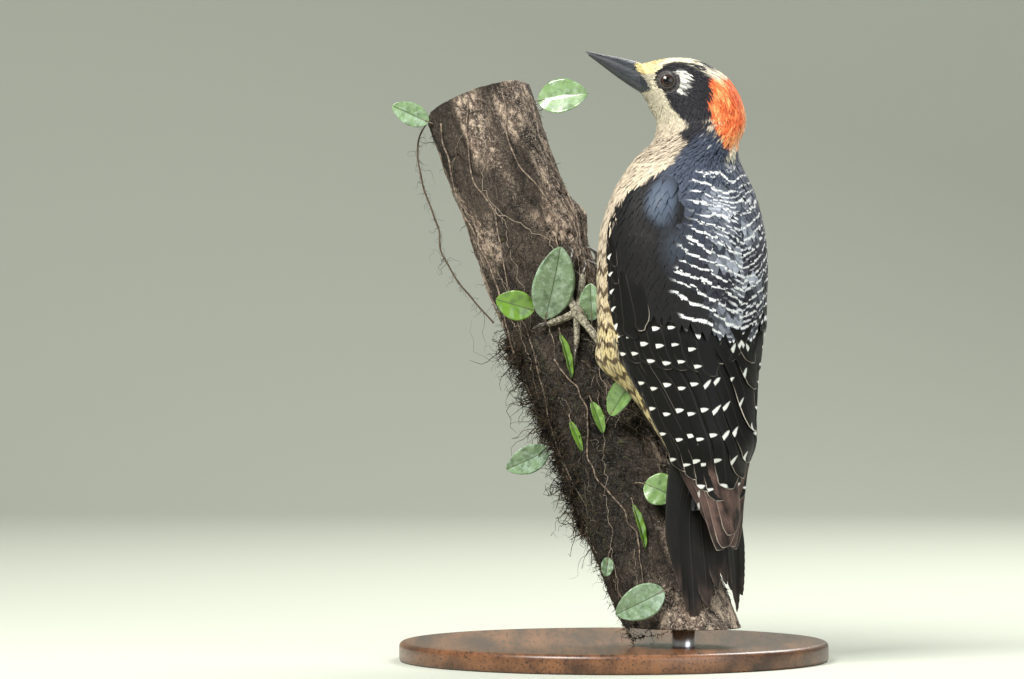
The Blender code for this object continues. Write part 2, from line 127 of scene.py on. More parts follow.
def smooth(table, at):
    """Hermite cubic through the rows of a table; a row's slope is the weighted mean of its two sides."""
    table = np.asarray(table, dtype=float)
    key, values = table[:, 0], table[:, 1:]
    step = np.diff(key)[:, None]
    rise = np.diff(values, axis=0) / step
    inner = (rise[:-1] * step[1:] + rise[1:] * step[:-1]) / (step[:-1] + step[1:])
    slope = np.vstack([rise[:1], inner, rise[-1:]])
    at = np.clip(np.asarray(at, dtype=float), key[0], key[-1])
    row = np.clip(np.searchsorted(key, at, side="right") - 1, 0, len(step) - 1)
    width = step[row]
    t = (at - key[row])[..., None] / width
    start = values[row] * (2 * t**3 - 3 * t**2 + 1) + slope[row] * width * (t**3 - 2 * t**2 + t)
    end = values[row + 1] * (3 * t**2 - 2 * t**3) + slope[row + 1] * width * (t**3 - t**2)
    return start + end


def line(table, at):
    """Straight lines through a two-column table."""
    key, value = np.array(table, dtype=float).T
    return np.interp(at, key, value)


def ease(low, high, value):
    """From 0 at low to 1 at high, with level ends."""
    t = np.clip((value - low) / (high - low), 0.0, 1.0)
    return t * t * (3 - 2 * t)


def noise(points, scale, seed=0):
    """Value noise in -1..1: hashed numbers on a cubic lattice, blended by eased weights."""
    spot = np.asarray(points, dtype=float) / scale
    cell = np.floor(spot).astype(np.int64)
    part = spot - cell
    part = part * part * (3 - 2 * part)
    total = np.zeros(spot.shape[:-1])
    for corner in itertools.product((0, 1), repeat=3):
        at = cell + np.array(corner)
        code = (at[..., 0] * 73856093) ^ (at[..., 1] * 19349663) ^ (at[..., 2] * 83492791) ^ (seed * 2654435)
        code = ((code ^ (code >> 13)) * 1274126177) & 0x7FFFFFFF
        code = (code ^ (code >> 16)) & 0xFFFF
        weight = np.prod(np.where(np.array(corner) == 1, part, 1 - part), axis=-1)
        total += weight * (code / 32767.5 - 1.0)
    return total


def fractal(points, scale, octaves, seed):
    """Sum of noises, each of half the size and half the height of the last."""
    return sum(noise(points, scale / 2**i, seed + i) / 2**i for i in range(octaves))


def paint(red, green, blue):
    """A display colour, 0 to 255 a channel, as the linear values that shaders mix."""
    channel = np.array([red, green, blue]) / 255.0
    return np.where(channel <= 0.04045, channel / 12.92, ((channel + 0.055) / 1.055) ** 2.4)


print("noise spans", noise(np.random.default_rng(1).random((999, 3)) * 50, 2.0).min().round(2), "to 1")

# %% [markdown]
# ## Meshes
# Every piece is a grid of points, or many copies of one grid, turned into one mesh. Building faces
# one by one in Python would be slow, so the corner numbers are worked out as arrays.

# %% Grids to meshes


def quads(rows, columns, wrap=False, copies=1):
    """Corner numbers of a grid's faces for each copy; wrap joins the last column to the first."""
    i = np.arange(rows - 1)[:, None]
    j = np.arange(columns if wrap else columns - 1)[None, :]
    k = (j + 1) % columns
    face = np.stack([i * columns + j, i * columns + k, (i + 1) * columns + k, (i + 1) * columns + j], -1)
    start = np.arange(copies)[:, None, None] * rows * columns
    return (face.reshape(-1, 4)[None] + start).reshape(-1, 4)


def tube_faces(rows, columns, copies=1):
    """Faces of closed tubes: the wrapped grid of each, and a fan of triangles over both its ends.

    Each copy holds its rows of points and then one point for the middle of each end.
    """
    size = rows * columns + 2
    j = np.arange(columns)
    k = (j + 1) % columns
    low = np.stack([np.full(columns, size - 2), k, j], -1)
    last = (rows - 1) * columns
    high = np.stack([np.full(columns, size - 1), last + j, last + k], -1)
    start = np.arange(copies)[:, None, None] * size
    wall = (quads(rows, columns, True)[None] + start).reshape(-1, 4)
    ends = (np.vstack([low, high])[None] + start).reshape(-1, 3)
    return [wall, ends]


def close_rings(rings):
    """Add the middle point of the first and of the last ring to tubes of shape (..., rows, columns, 3)."""
    flat = rings.reshape(*rings.shape[:-3], -1, 3)
    low = rings[..., 0, :, :].mean(axis=-2)[..., None, :]
    high = rings[..., -1, :, :].mean(axis=-2)[..., None, :]
    return np.concatenate([flat, low, high], axis=-2)


def closed_sheet(upper, lower):
    """Points of a thin closed body between two grids of the same shape."""
    return close_rings(np.concatenate([upper, lower[:, ::-1]], axis=1))


def on_sheet(field, shape):
    """A number for each point of a closed sheet, from its values on the upper grid."""
    field = np.broadcast_to(field, shape)
    both = np.concatenate([field, field[:, ::-1]], axis=1)
    return np.concatenate([both.ravel(), [both[0].mean(), both[-1].mean()]])


def sheet_map(across, along, index=0, count=1):
    """Unwrap of one closed sheet out of count, each in its own cell of a square.

    across and along are the places of the upper grid, 0 to 1; the lower grid lies beside it.
    """
    cells = math.ceil(math.sqrt(count))
    across = np.concatenate([across * 0.46, 1 - across[::-1] * 0.46])[None, :] + 0 * along[:, None]
    patch = np.stack([across, np.broadcast_to(along[:, None], across.shape)], -1).reshape(-1, 2)
    patch = np.vstack([patch, [0.5, 0.0], [0.5, 1.0]])
    return (np.array([index % cells, index // cells]) + 0.03 + 0.94 * patch) / cells


def make_piece(name, points, faces, finish, replaces, maps, values=None, colours=None):
    """Turn points in millimetres and arrays of corner numbers into a piece that rides on the root.

    maps are UV maps, values are single numbers and colours are triples, each given for every point
    (a map may be given for every corner instead).
    """
    points = np.asarray(points, dtype=np.float32).reshape(-1, 3) * MM
    totals = np.concatenate([np.full(len(part), part.shape[1]) for part in faces])
    corners = np.concatenate([part.ravel() for part in faces]).astype(np.int32)
    mesh = bpy.data.meshes.new(name)
    mesh.vertices.add(len(points))
    mesh.vertices.foreach_set("co", points.ravel())
    mesh.loops.add(len(corners))
    mesh.loops.foreach_set("vertex_index", corners)
    mesh.polygons.add(len(totals))
    mesh.polygons.foreach_set("loop_start", np.concatenate([[0], np.cumsum(totals)[:-1]]).astype(np.int32))
    mesh.polygons.foreach_set("loop_total", totals.astype(np.int32))
    mesh.update(calc_edges=True)
    mesh.shade_smooth()
    for key, uv in maps.items():
        uv = np.asarray(uv, dtype=np.float32).reshape(-1, 2)
        uv = uv if len(uv) == len(corners) else uv[corners]
        mesh.uv_layers.new(name=key).uv.foreach_set("vector", uv.ravel())
    for key, value in (values or {}).items():
        flat = np.asarray(value, dtype=np.float32).ravel()
        mesh.attributes.new(key, "FLOAT", "POINT").data.foreach_set("value", flat)
    for key, colour in (colours or {}).items():
        four = np.ones((len(points), 4), dtype=np.float32)
        four[:, :3] = np.asarray(colour).reshape(-1, 3)
        mesh.attributes.new(key, "FLOAT_COLOR", "POINT").data.foreach_set("color", four.ravel())
    mesh.materials.append(finish)
    piece = bpy.data.objects.new(name, mesh)
    bpy.context.scene.collection.objects.link(piece)
    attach(piece, "root")
    if replaces:
        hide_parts(*replaces)
    print("%-16s %7d triangles" % (name, (totals - 2).sum()))
    return piece


# %% [markdown]
# ## Writing materials
# Node graphs drawn by hand are hard to read in code. One class wraps a socket, so that sums and
# products of fields are written as sums and products, and one method adds any other node.

# %% A small language for shaders


class Field:
    """An output socket. Arithmetic on it adds Math nodes to its material."""

    def __init__(self, finish, socket):
        self.finish, self.socket = finish, socket

    def maths(self, operation, *others):
        return self.finish.node("ShaderNodeMath", {"operation": operation}, dict(enumerate((self,) + others)))

    def __add__(self, other):
        return self.maths("ADD", other)

    def __mul__(self, other):
        return self.maths("MULTIPLY", other)

    def __sub__(self, other):
        return self.maths("SUBTRACT", other)

    def __rsub__(self, other):
        return self.finish.node("ShaderNodeMath", {"operation": "SUBTRACT"}, {0: other, 1: self})

    __radd__ = __add__
    __rmul__ = __mul__

    def from_whole(self):
        """Distance to the nearest whole number, from 0 to 0.5."""
        return self.maths("PINGPONG", 0.5)

    def band(self, low, high):
        """0 below low, 1 above high, eased between."""
        sockets = {"Value": self, "From Min": low, "From Max": high}
        return self.finish.node("ShaderNodeMapRange", {"interpolation_type": "SMOOTHSTEP"}, sockets)


class Finish:
    """A material whose Principled shader is fed by fields and plain values."""

    def __init__(self, name, **constants):
        self.material = bpy.data.materials.new(name)
        self.material.use_nodes = True
        self.tree = self.material.node_tree
        self.shader = self.tree.nodes["Principled BSDF"]
        for key, value in constants.items():
            self.set(key.replace("_", " "), value)

    def put(self, socket, value):
        """Link a field to a socket, or set the socket's own value."""
        if isinstance(value, Field):
            self.tree.links.new(value.socket, socket)
        elif isinstance(value, (tuple, list, np.ndarray)):
            size = len(socket.default_value)
            socket.default_value = (tuple(value) + (1.0,))[:size]
        else:
            socket.default_value = value

    def set(self, name, value):
        self.put(self.shader.inputs[name], value)
        return self

    def node(self, kind, settings=None, sockets=None, output=0):
        """Add a node: its settings first, then the values or links of its sockets."""
        made = self.tree.nodes.new(kind)
        for key, value in (settings or {}).items():
            setattr(made, key, value)
        for key, value in (sockets or {}).items():
            self.put(made.inputs[key], value)
        return Field(self, made.outputs[output])

    def mix(self, first, second, factor):
        """Blend two colours."""
        return self.node("ShaderNodeMix", {"data_type": "RGBA"}, {0: factor, 6: first, 7: second}, 2)

    def read(self, name, output="Fac"):
        """An attribute of the mesh: Fac for numbers, Color for colours."""
        return self.node("ShaderNodeAttribute", {"attribute_name": name}, output=output)

    def map_axes(self, name):
        """The two numbers of a UV map."""
        uv = self.node("ShaderNodeUVMap", {"uv_map": name})
        return [self.node("ShaderNodeSeparateXYZ", None, {0: uv}, axis) for axis in (0, 1)]

    def place(self):
        return self.node("ShaderNodeTexCoord", output="Object")

    def noise(self, size, detail=4.0, rough=0.55, stretch=(1, 1, 1)):
        """Noise on object coordinates, whose grain is about size millimetres."""
        mapped = self.node("ShaderNodeMapping", None, {"Vector": self.place(), "Scale": stretch})
        sockets = {"Vector": mapped, "Scale": 1.0 / (size * MM), "Detail": detail, "Roughness": rough}
        return self.node("ShaderNodeTexNoise", None, sockets)

    def grain(self, axes, detail=3.0, rough=0.5):
        """Noise over three numbers, each already scaled to a grain of about one."""
        spot = self.node("ShaderNodeCombineXYZ", None, dict(enumerate(axes)))
        sockets = {"Vector": spot, "Scale": 1.0, "Detail": detail, "Roughness": rough}
        return self.node("ShaderNodeTexNoise", None, sockets)

    def bump(self, height, depth_mm, strength):
        """Let a field of heights, 0 to 1, tilt the surface."""
        sockets = {"Height": height, "Distance": depth_mm * MM, "Strength": strength}
        return self.set("Normal", self.node("ShaderNodeBump", None, sockets))


print("shader language ready")

# %% [markdown]
# ## The body as a surface
# A place on the bird is a station along its middle line, from the tail at 0 to the bill at 21, and an
# angle from the spine round to the belly, positive on the left. The frame's ellipses are kept, and
# swellings are added for the thighs, so no sculpting is needed.

# %% The surface of the bird
EYE = AXIS - 4.8 * HEAD_BACK + 177.9 * UP
EYE_ASIDE = 6.75
STATIONS = np.linspace(-1.0, 22.0, 600)


def from_spine(angle):
    """How far angles are from the spine, 0 to 180 degrees on either side."""
    return np.abs((angle + 180) % 360 - 180)


def body(station, angle, above=0.0):
    """Surface of the body at stations and angles (degrees), raised by a height along its normal.

    A point is the section's centre, plus half depth times cosine along outward, plus half width
    times sine along left, plus the swelling of the thighs.
    """
    station, angle = np.broadcast_arrays(np.asarray(station, float), np.asarray(angle, float))

    def bare(s, a):
        row = smooth(BODY, s)
        back, left = directions(row[..., 2])
        tip = np.radians(row[..., 3])[..., None]
        outward = np.cos(tip) * back + np.sin(tip) * UP
        turn = np.radians(a)[..., None]
        spread = np.cos(turn) * outward, np.sin(turn) * left
        centre = AXIS + row[..., 1:2] * back + row[..., 0:1] * UP
        thigh = (3.2 * np.exp(-(((from_spine(a) - 141) / 15) ** 2)
                              - ((row[..., 0] - 91.5) / 6.0) ** 2)[..., None])
        return centre + (row[..., 4:5] + thigh) * spread[0] + (row[..., 5:6] + thigh) * spread[1]

    point = bare(station, angle)
    if np.all(np.asarray(above) == 0.0):
        return point
    along = bare(station + 0.02, angle) - bare(station - 0.02, angle)
    across = bare(station, angle + 0.5) - bare(station, angle - 0.5)
    normal = np.cross(along, across)
    normal /= np.linalg.norm(normal, axis=-1, keepdims=True)
    return point + normal * np.asarray(above)[..., None]


def wing(height, angle, above=0.0):
    """Surface of a folded wing at heights and angles, raised square to the bird's upright axis."""
    height, angle, above = np.broadcast_arrays(height, angle, above)
    row = smooth(WING, height)
    turn = np.radians(angle)
    back = row[..., 0] + (row[..., 1] + above) * np.cos(turn)
    left = (row[..., 2] + above) * np.sin(turn)
    return AXIS + back[..., None] * BACK + left[..., None] * LEFT + height[..., None] * UP


SPINE = np.concatenate([[0], np.cumsum(np.linalg.norm(np.diff(body(STATIONS, 90.0), axis=0), axis=1))])


def run(station):
    """Length along the bird's side from its tail end to a station."""
    return np.interp(station, STATIONS, SPINE)


def back_to_station(length):
    return np.interp(length, SPINE, STATIONS)


def coat_depth(station):
    """How deep the skin lies under the coat: deep on the trunk, thin on the face."""
    return line([(-1, 1.0), (1, 1.6), (9, 1.7), (12, 1.2), (15, 0.8), (19, 0.5), (22, 0.35)], station)


# Height and distance along x of the edge where the feathers of the face meet the bill's bare root.
BILL_EDGE = [(172.5, 6.0), (174.0, 8.0), (174.6, 10.0), (175.3, 10.9), (176.9, 10.4), (179.5, 8.9),
             (181.2, 8.0), (183.4, 7.1), (185.0, 6.0)]


def behind_bill(points):
    """How far places on the head lie behind the bill's bare root."""
    return points[..., 0] - line(BILL_EDGE, points[..., 2])


print("bird's side runs %.0f mm from tail to bill" % SPINE[-1])

# %% [markdown]
# ## Markings
# Skin and feathers have to wear the same pattern, so it is written once, as a function of place. A
# painted picture could carry it too, but a function stays sharp on the smallest feather.

# %% Plumage by station and angle
BLACK = paint(28, 27, 32)
BLUE = paint(64, 71, 86)
CREAM = paint(194, 180, 158)
THROAT = paint(192, 184, 160)
YELLOW = paint(213, 194, 130)
OCHRE = paint(190, 160, 96)
FOREHEAD = paint(230, 210, 150)
CROWN = paint(243, 235, 208)
RED = paint(238, 110, 60)
ORANGE = paint(250, 176, 112)
WHITE = paint(236, 236, 232)
GRIZZLE = paint(96, 90, 84)
NAPE_RIM_LIGHT = paint(248, 186, 140)
EYE_PATCH = paint(208, 207, 198)
SHEEN_HAZE = paint(182, 188, 200)
PALE_FROM = [(-1, 130), (2, 112), (4, 98), (6, 108), (8, 101), (9, 82), (10, 72), (11, 84), (12, 112),
             (12.6, 104), (13, 109), (14, 121), (15, 124), (16, 118), (17, 111), (18, 106), (18.8, 98),
             (19.15, 76), (20.2, 72), (22, 66)]
BLUE_TO = [(4, 38), (7, 46), (8.5, 62), (9.5, 76), (12, 84)]
CROWN_EDGE = [(15.2, 0), (15.8, 14), (16.4, 26), (17, 31), (18.2, 35), (18.6, 42), (18.9, 58), (19.15, 76),
              (22, 78)]
BARS_TO = [(3.9, 22), (4.6, 38), (5.0, 47), (5.4, 52), (5.8, 54), (6.4, 49), (7.1, 43), (7.6, 41),
           (8.5, 44), (9.6, 44)]
RED_EDGE = [(10.3, 0), (10.8, 26), (11.5, 46), (12, 60), (13, 75), (14, 77), (14.6, 66), (15.1, 56),
            (15.6, 34), (15.9, 12)]


def plumage(station, angle):
    """Colour of the coat, and how strongly white bars and brown chevrons are drawn on it."""
    aside = from_spine(angle)
    spot = np.stack([run(station), aside * 0.22, np.sign(angle) * 7.0], -1)
    wobble = noise(spot, 2.2, 3)
    fine = noise(spot, 0.9, 5)
    a = aside + 3.0 * wobble + 2.0 * fine
    s = station + 0.16 * wobble + 0.12 * fine

    def between(low, high, value, soft):
        return ease(low - soft, low + soft, value) * (1 - ease(high - soft, high + soft, value))

    def lay(colour, over, amount):
        return colour + (np.asarray(over) - colour) * amount[..., None]

    blue = (1 - ease(-14, 14, a - line(BLUE_TO, s))) * (1 - ease(11, 13, s)) * (0.2 + 0.8 * ease(6.0, 8.3, s))
    colour = lay(BLACK, BLUE, blue)
    pale = ease(-2.5, 2.5, a - line(PALE_FROM, s))
    cream = lay(CREAM, THROAT, ease(11, 15, s))
    cream = lay(cream, YELLOW, (1 - ease(4.0, 7.0, s)) * (0.65 + 0.35 * wobble))
    cream = lay(cream, OCHRE, 0.5 * ease(150, 178, a) * (1 - ease(3.5, 6.0, s)))
    colour = lay(colour, cream, pale)
    grizzle = ease(0.05, 0.6, noise(spot, 0.7, 11)) * ease(12.3, 14.5, s) * pale
    colour = lay(colour, GRIZZLE, 0.5 * grizzle * (0.3 + 0.7 * ease(17.3, 19.5, s)))

    red = ease(-2.5, 2.5, line(RED_EDGE, s) - a) * between(10.4, 15.9, s, 0.2)
    nape = lay(RED, ORANGE, 0.8 * ease(-0.1, 0.6, fine + 0.5 * wobble + 0.3 * ease(13.5, 11.5, s)))
    # Painted rim light: a pale peach along the spine side of the lower nape, as if lit from behind.
    nape = lay(nape, NAPE_RIM_LIGHT, 0.9 * (1 - ease(6, 20, a)) * (1 - ease(13.4, 14.4, s)))
    colour = lay(colour, nape, red)
    fringe = between(10.0, 10.8, s, 0.2) * (1 - ease(6, 14, a))
    colour = lay(colour, CROWN, 0.7 * fringe)
    streak = between(12.35, 13.0, s, 0.12) * between(62, 82, a, 4) * ease(-0.2, 0.3, fine)
    colour = lay(colour, CREAM, 0.8 * streak)

    crown = ease(-3, 3, line(CROWN_EDGE, s) - a) * ease(16.5, 17.2, s)
    crown = np.maximum(crown, 0.8 * between(15.3, 17.2, s, 0.3) * ease(0.12, 0.45, fine)
                       * (1 - ease(38, 50, a)))
    crown = np.maximum(crown, 0.75 * between(15.2, 15.9, s, 0.15) * (1 - ease(34, 46, a)))
    top = lay(CROWN, FOREHEAD, ease(18.5, 19.6, s))
    colour = lay(colour, top, crown)

    lobe = (ease(16.03, 16.27, s - 0.07 * np.clip(70 - a, 0, 20)) * (1 - ease(17.3, 17.6, s))
            * between(58, 83, a, 4))
    drop = between(15.45, 16.4, s, 0.12) * (1 - ease(2.5, 5.5, np.abs(a - 89 - 7.5 * (s - 15))))
    join = between(15.8, 16.3, s, 0.12) * between(78, 94, a, 3)
    patch = np.maximum(np.maximum(lobe, drop), join)
    colour = lay(colour, EYE_PATCH, patch * (0.85 + 0.3 * fine))
    lore = between(19.2, 20.3, s, 0.2) * between(76, 104, a, 5)
    colour = lay(colour, BLACK, 0.6 * lore * ease(0.0, 0.5, noise(spot, 1.1, 17)))
    beside = a - line(RED_EDGE, s)
    fleck = (ease(-0.05, 0.4, noise(spot * [1.0, 3.0, 1.0], 1.6, 27)) * between(10.9, 13.1, s, 0.2)
             * ease(0, 3, beside) * (1 - ease(8, 14, beside)))
    colour = lay(colour, CREAM, 0.8 * fleck * (1 - pale))
    fleck = (ease(0.62, 0.78, noise(spot, 1.9, 23)) * between(9.6, 11.6, s, 0.3) * between(24, 84, a, 4)
             * (1 - red))
    colour = lay(colour, WHITE, 0.4 * fleck * (1 - pale))

    bars = ((1 - ease(-6, 3, aside - line(BARS_TO, station) + 5 * wobble)) * (1 - ease(9.3, 10.0, station))
            * ease(2.0, 3.0, station))
    faint = ease(-0.75, -0.1, noise(spot, 4.5, 29) - 0.5 * ease(20, 40, aside) * ease(6.5, 8.5, station)
                 + 0.1)
    bars = bars * (0.25 + 0.75 * faint)
    doubled = (1 - ease(14, 32, aside)) * between(4.4, 8.4, s, 0.5) * ease(-0.45, 0.1, noise(spot, 3.5, 43))
    bars = bars * (1 + doubled)
    # Painted sheen: a pale bluish haze along the spine of the upper back, where the white bars also lie
    # dense.
    sheen_haze = ((1 - ease(10, 34, aside)) * between(4.8, 8.4, s, 0.7)
            * ease(-0.35, 0.75, noise(spot, 4.0, 37) + 0.6 * noise(spot, 1.3, 38)))
    colour = lay(colour, SHEEN_HAZE, 0.85 * sheen_haze)
    rump = (1 - ease(2.0, 4.2, station)) * (1 - ease(50, 62, aside))
    colour = lay(colour, WHITE, 0.85 * rump)
    flank = pale * (1 - ease(6.2, 7.2, station)) * (1 - 0.65 * ease(160, 180, aside))
    return np.clip(colour, 0, 1), bars, flank


def bar_phase(station, angle):
    """Counts the white bars of the back: they fall towards the spine and wave a little."""
    aside = from_spine(angle)
    height = smooth(BODY, station)[..., 0]
    spot = np.stack([height, angle * 0.4, aside * 0], -1)
    fall = 0.07 + 0.15 * ease(84, 116, height) * (1 - ease(130, 150, height))
    return (height - fall * aside + 1.5 * noise(spot, 6.0, 31) + 0.3 * noise(spot, 2.6, 32)) / 3.8


def chevron_phase(station, angle):
    """Counts the brown chevrons of the flank: each row is a zigzag with its points towards the tail."""
    spot = np.stack([run(station), angle * 0.3, angle * 0], -1)
    zigzag = np.abs(((angle + 2.0 * noise(spot, 9.0, 35)) / 15.0) % 1.0 - 0.5)
    return (run(station) + 1.3 * noise(spot, 5.0, 33)) / 5.4 - 0.75 * zigzag


print("plumage ready")

# %% [markdown]
# ## Feather and skin materials
# One coat material serves all small feathers: it reads the colour painted on them and draws bars,
# chevrons and the fine combing of the barbs, with painted shade between the barbs and a painted
# highlight on their tops. Sheen gives the soft edge that feathers have.

# %% Coat, skin and vane materials


def coat_finish(name, rough=0.62, sheen=0.08):
    made = Finish(name, Roughness=rough, Sheen_Weight=sheen, Sheen_Roughness=0.4, Specular_IOR_Level=0.22)
    colour = made.read("tint", "Color")
    across, along = made.map_axes("lie")
    barbs = made.grain((across * 8.0, along * 0.7, made.read("seed") * 40.0), 2.0, 0.6)
    # Painted shade: the colour darkens in the grooves between the barbs.
    shaded = made.mix(colour, (0.0, 0.0, 0.0), made.read("seam") * (1.0 - barbs.band(0.3, 0.62)))
    # Painted highlight: a warm pale tint on the tops of the barbs.
    shaded = made.mix(shaded, (1.0, 0.97, 0.9), 0.10 * barbs.band(0.55, 0.75) * made.read("tint", "Fac"))
    wave = (made.read("bar") + 0.22 * (barbs - 0.5)).from_whole()
    white = (1.0 - (wave + 0.07 * made.read("seed")).band(0.095, 0.165)) * made.read("barred").band(0.0, 1.0)
    shaded = made.mix(shaded, paint(214, 215, 214), white)
    second = ((1.0 - (0.5 - wave + 0.05 * made.read("seed")).band(0.06, 0.13))
              * made.read("barred").band(1.0, 2.0))
    shaded = made.mix(shaded, paint(206, 208, 210), second)
    zigzag = (made.read("chevron") + 0.16 * (barbs - 0.5)).from_whole()
    brown = (1.0 - zigzag.band(0.10, 0.21)) * made.read("flank")
    shaded = made.mix(shaded, paint(70, 50, 30), 0.9 * brown)
    made.set("Base Color", shaded)
    made.bump(barbs, 0.12, 0.5)
    return made.material


COAT = coat_finish("coat")
GLOSSY_COAT = coat_finish("glossy_coat", 0.5, 0.05)
skin_finish = Finish("skin", Roughness=0.8)
# The skin wears the plumage's colour darkened by a quarter towards black: painted shade under the coat, seen
# in the gaps between feathers.
skin_finish.set("Base Color", skin_finish.mix(skin_finish.read("tint", "Color"), (0.012, 0.011, 0.011), 0.25))
skin_finish.bump(skin_finish.noise(0.5), 0.1, 0.6)
print("coat materials ready")

# %% [markdown]
# ## Skin
# One closed skin runs from the tail to the bill, under all the feathers. It lies in from the solids
# by the coat's depth, with a dish round each eye.

# %% The skin
rows = back_to_station(np.linspace(0, SPINE[-1], 300))
columns = np.linspace(180.0, -180.0, 145)[:-1]
S, A = np.meshgrid(rows, columns, indexing="ij")


def socket_depth(points):
    """How much the skin sinks round each eye, so that the ball stands in it: a smooth dish."""
    aside = (points - EYE) @ HEAD_LEFT
    flat = np.linalg.norm((points - EYE) - aside[..., None] * HEAD_LEFT, axis=-1)
    return 1.3 * (1 - ease(1.6, 4.2, flat)) * ease(4.0, 6.0, np.abs(aside))


points = body(S, A, -coat_depth(S) - socket_depth(body(S, A)))
colour, bars, flank = plumage(S, A)
unwrap = np.stack([0.5 + A / 360 * 0.98, 0.01 + 0.98 * run(S) / SPINE[-1]], -1)
faces = tube_faces(len(rows), len(columns))
points = np.vstack([points.reshape(-1, 3), points[0].mean(0), points[-1].mean(0)])
colour = np.vstack([colour.reshape(-1, 3), colour[0, 0], colour[-1, 0]])
unwrap = np.vstack([unwrap.reshape(-1, 2), [0.5, 0.0], [0.5, 1.0]])
corner_map = np.concatenate([unwrap[part.ravel()] for part in faces])
wall = corner_map[: faces[0].size].reshape(-1, 4, 2)
wrapped = wall[..., 0].max(1) - wall[..., 0].min(1) > 0.5
wall[wrapped, :, 0] += np.where(wall[wrapped, :, 0] > 0.5, -0.98, 0.0)
wall[..., 0] = np.clip(wall[..., 0], 0, 1)
make_piece("skin", points, faces, skin_finish.material,
           ["trunk", "neck", "head", "thigh_left", "thigh_right"],
           {"OFBake": corner_map}, colours={"tint": colour})

# %% [markdown]
# ## Small feathers
# Hair systems and instances would be lost once the model leaves Blender, so each feather is a small
# curved vane of its own, rising from the skin towards its tip, and thousands are joined in one mesh.
# They are set in staggered rows round the body, like the feather tracts of a bird.

# %% Rows of overlapping feathers
rng = np.random.default_rng(20)
MOST_TRIANGLES = 190_000


def quincunx(low, high, pitch, girth, jitter=0.3):
    """Places for feathers in staggered rings: the rings a pitch apart, each shared out by arc length.

    girth(level) gives the angles, and the lengths up to them, round one ring.
    """
    level, out, k = low, [], 0
    while level < high:
        gap = pitch(level)
        angle, length = girth(level)
        count = max(int(length[-1] / (gap * 1.08)), 1)
        share = (np.arange(count) + 0.5 * (k % 2) + jitter * rng.uniform(-1, 1, count)) / count * length[-1]
        ring = np.interp(share % length[-1], length, angle)
        lift = level + gap * jitter * rng.uniform(-1, 1, count)
        out.append(np.stack([lift, ring], -1))
        level, k = level + gap, k + 1
    return np.vstack(out)


def body_girth(length):
    angle = np.linspace(-180, 180, 181)
    ring = body(np.full(181, back_to_station(length)), angle)
    return angle, np.concatenate([[0], np.cumsum(np.linalg.norm(np.diff(ring, axis=0), axis=1))])


def vane_grid(count, rows, columns, rag):
    """Lengthwise 0..1 and sideways -1..1 places on vanes, whose tips are rounded and frayed."""
    u = np.linspace(0, 1, rows)[None, :, None]
    v = np.linspace(-1, 1, columns)[None, None, :]
    fray = rag * rng.uniform(-1, 0.4, (count, 1, columns))
    reach = 1 - 0.24 * np.abs(v) ** 2.2 + fray
    profile = (0.55 + 0.45 * np.sin(np.pi * np.minimum(u * 0.8 + 0.12, 1.0))) * (1 - 0.35 * u**6)
    return u * reach + 0 * v, v * profile + 0 * u * fray


def on_body(along, angle, up):
    """Surface of the body at lengths along its side."""
    return body(back_to_station(along), angle, up)


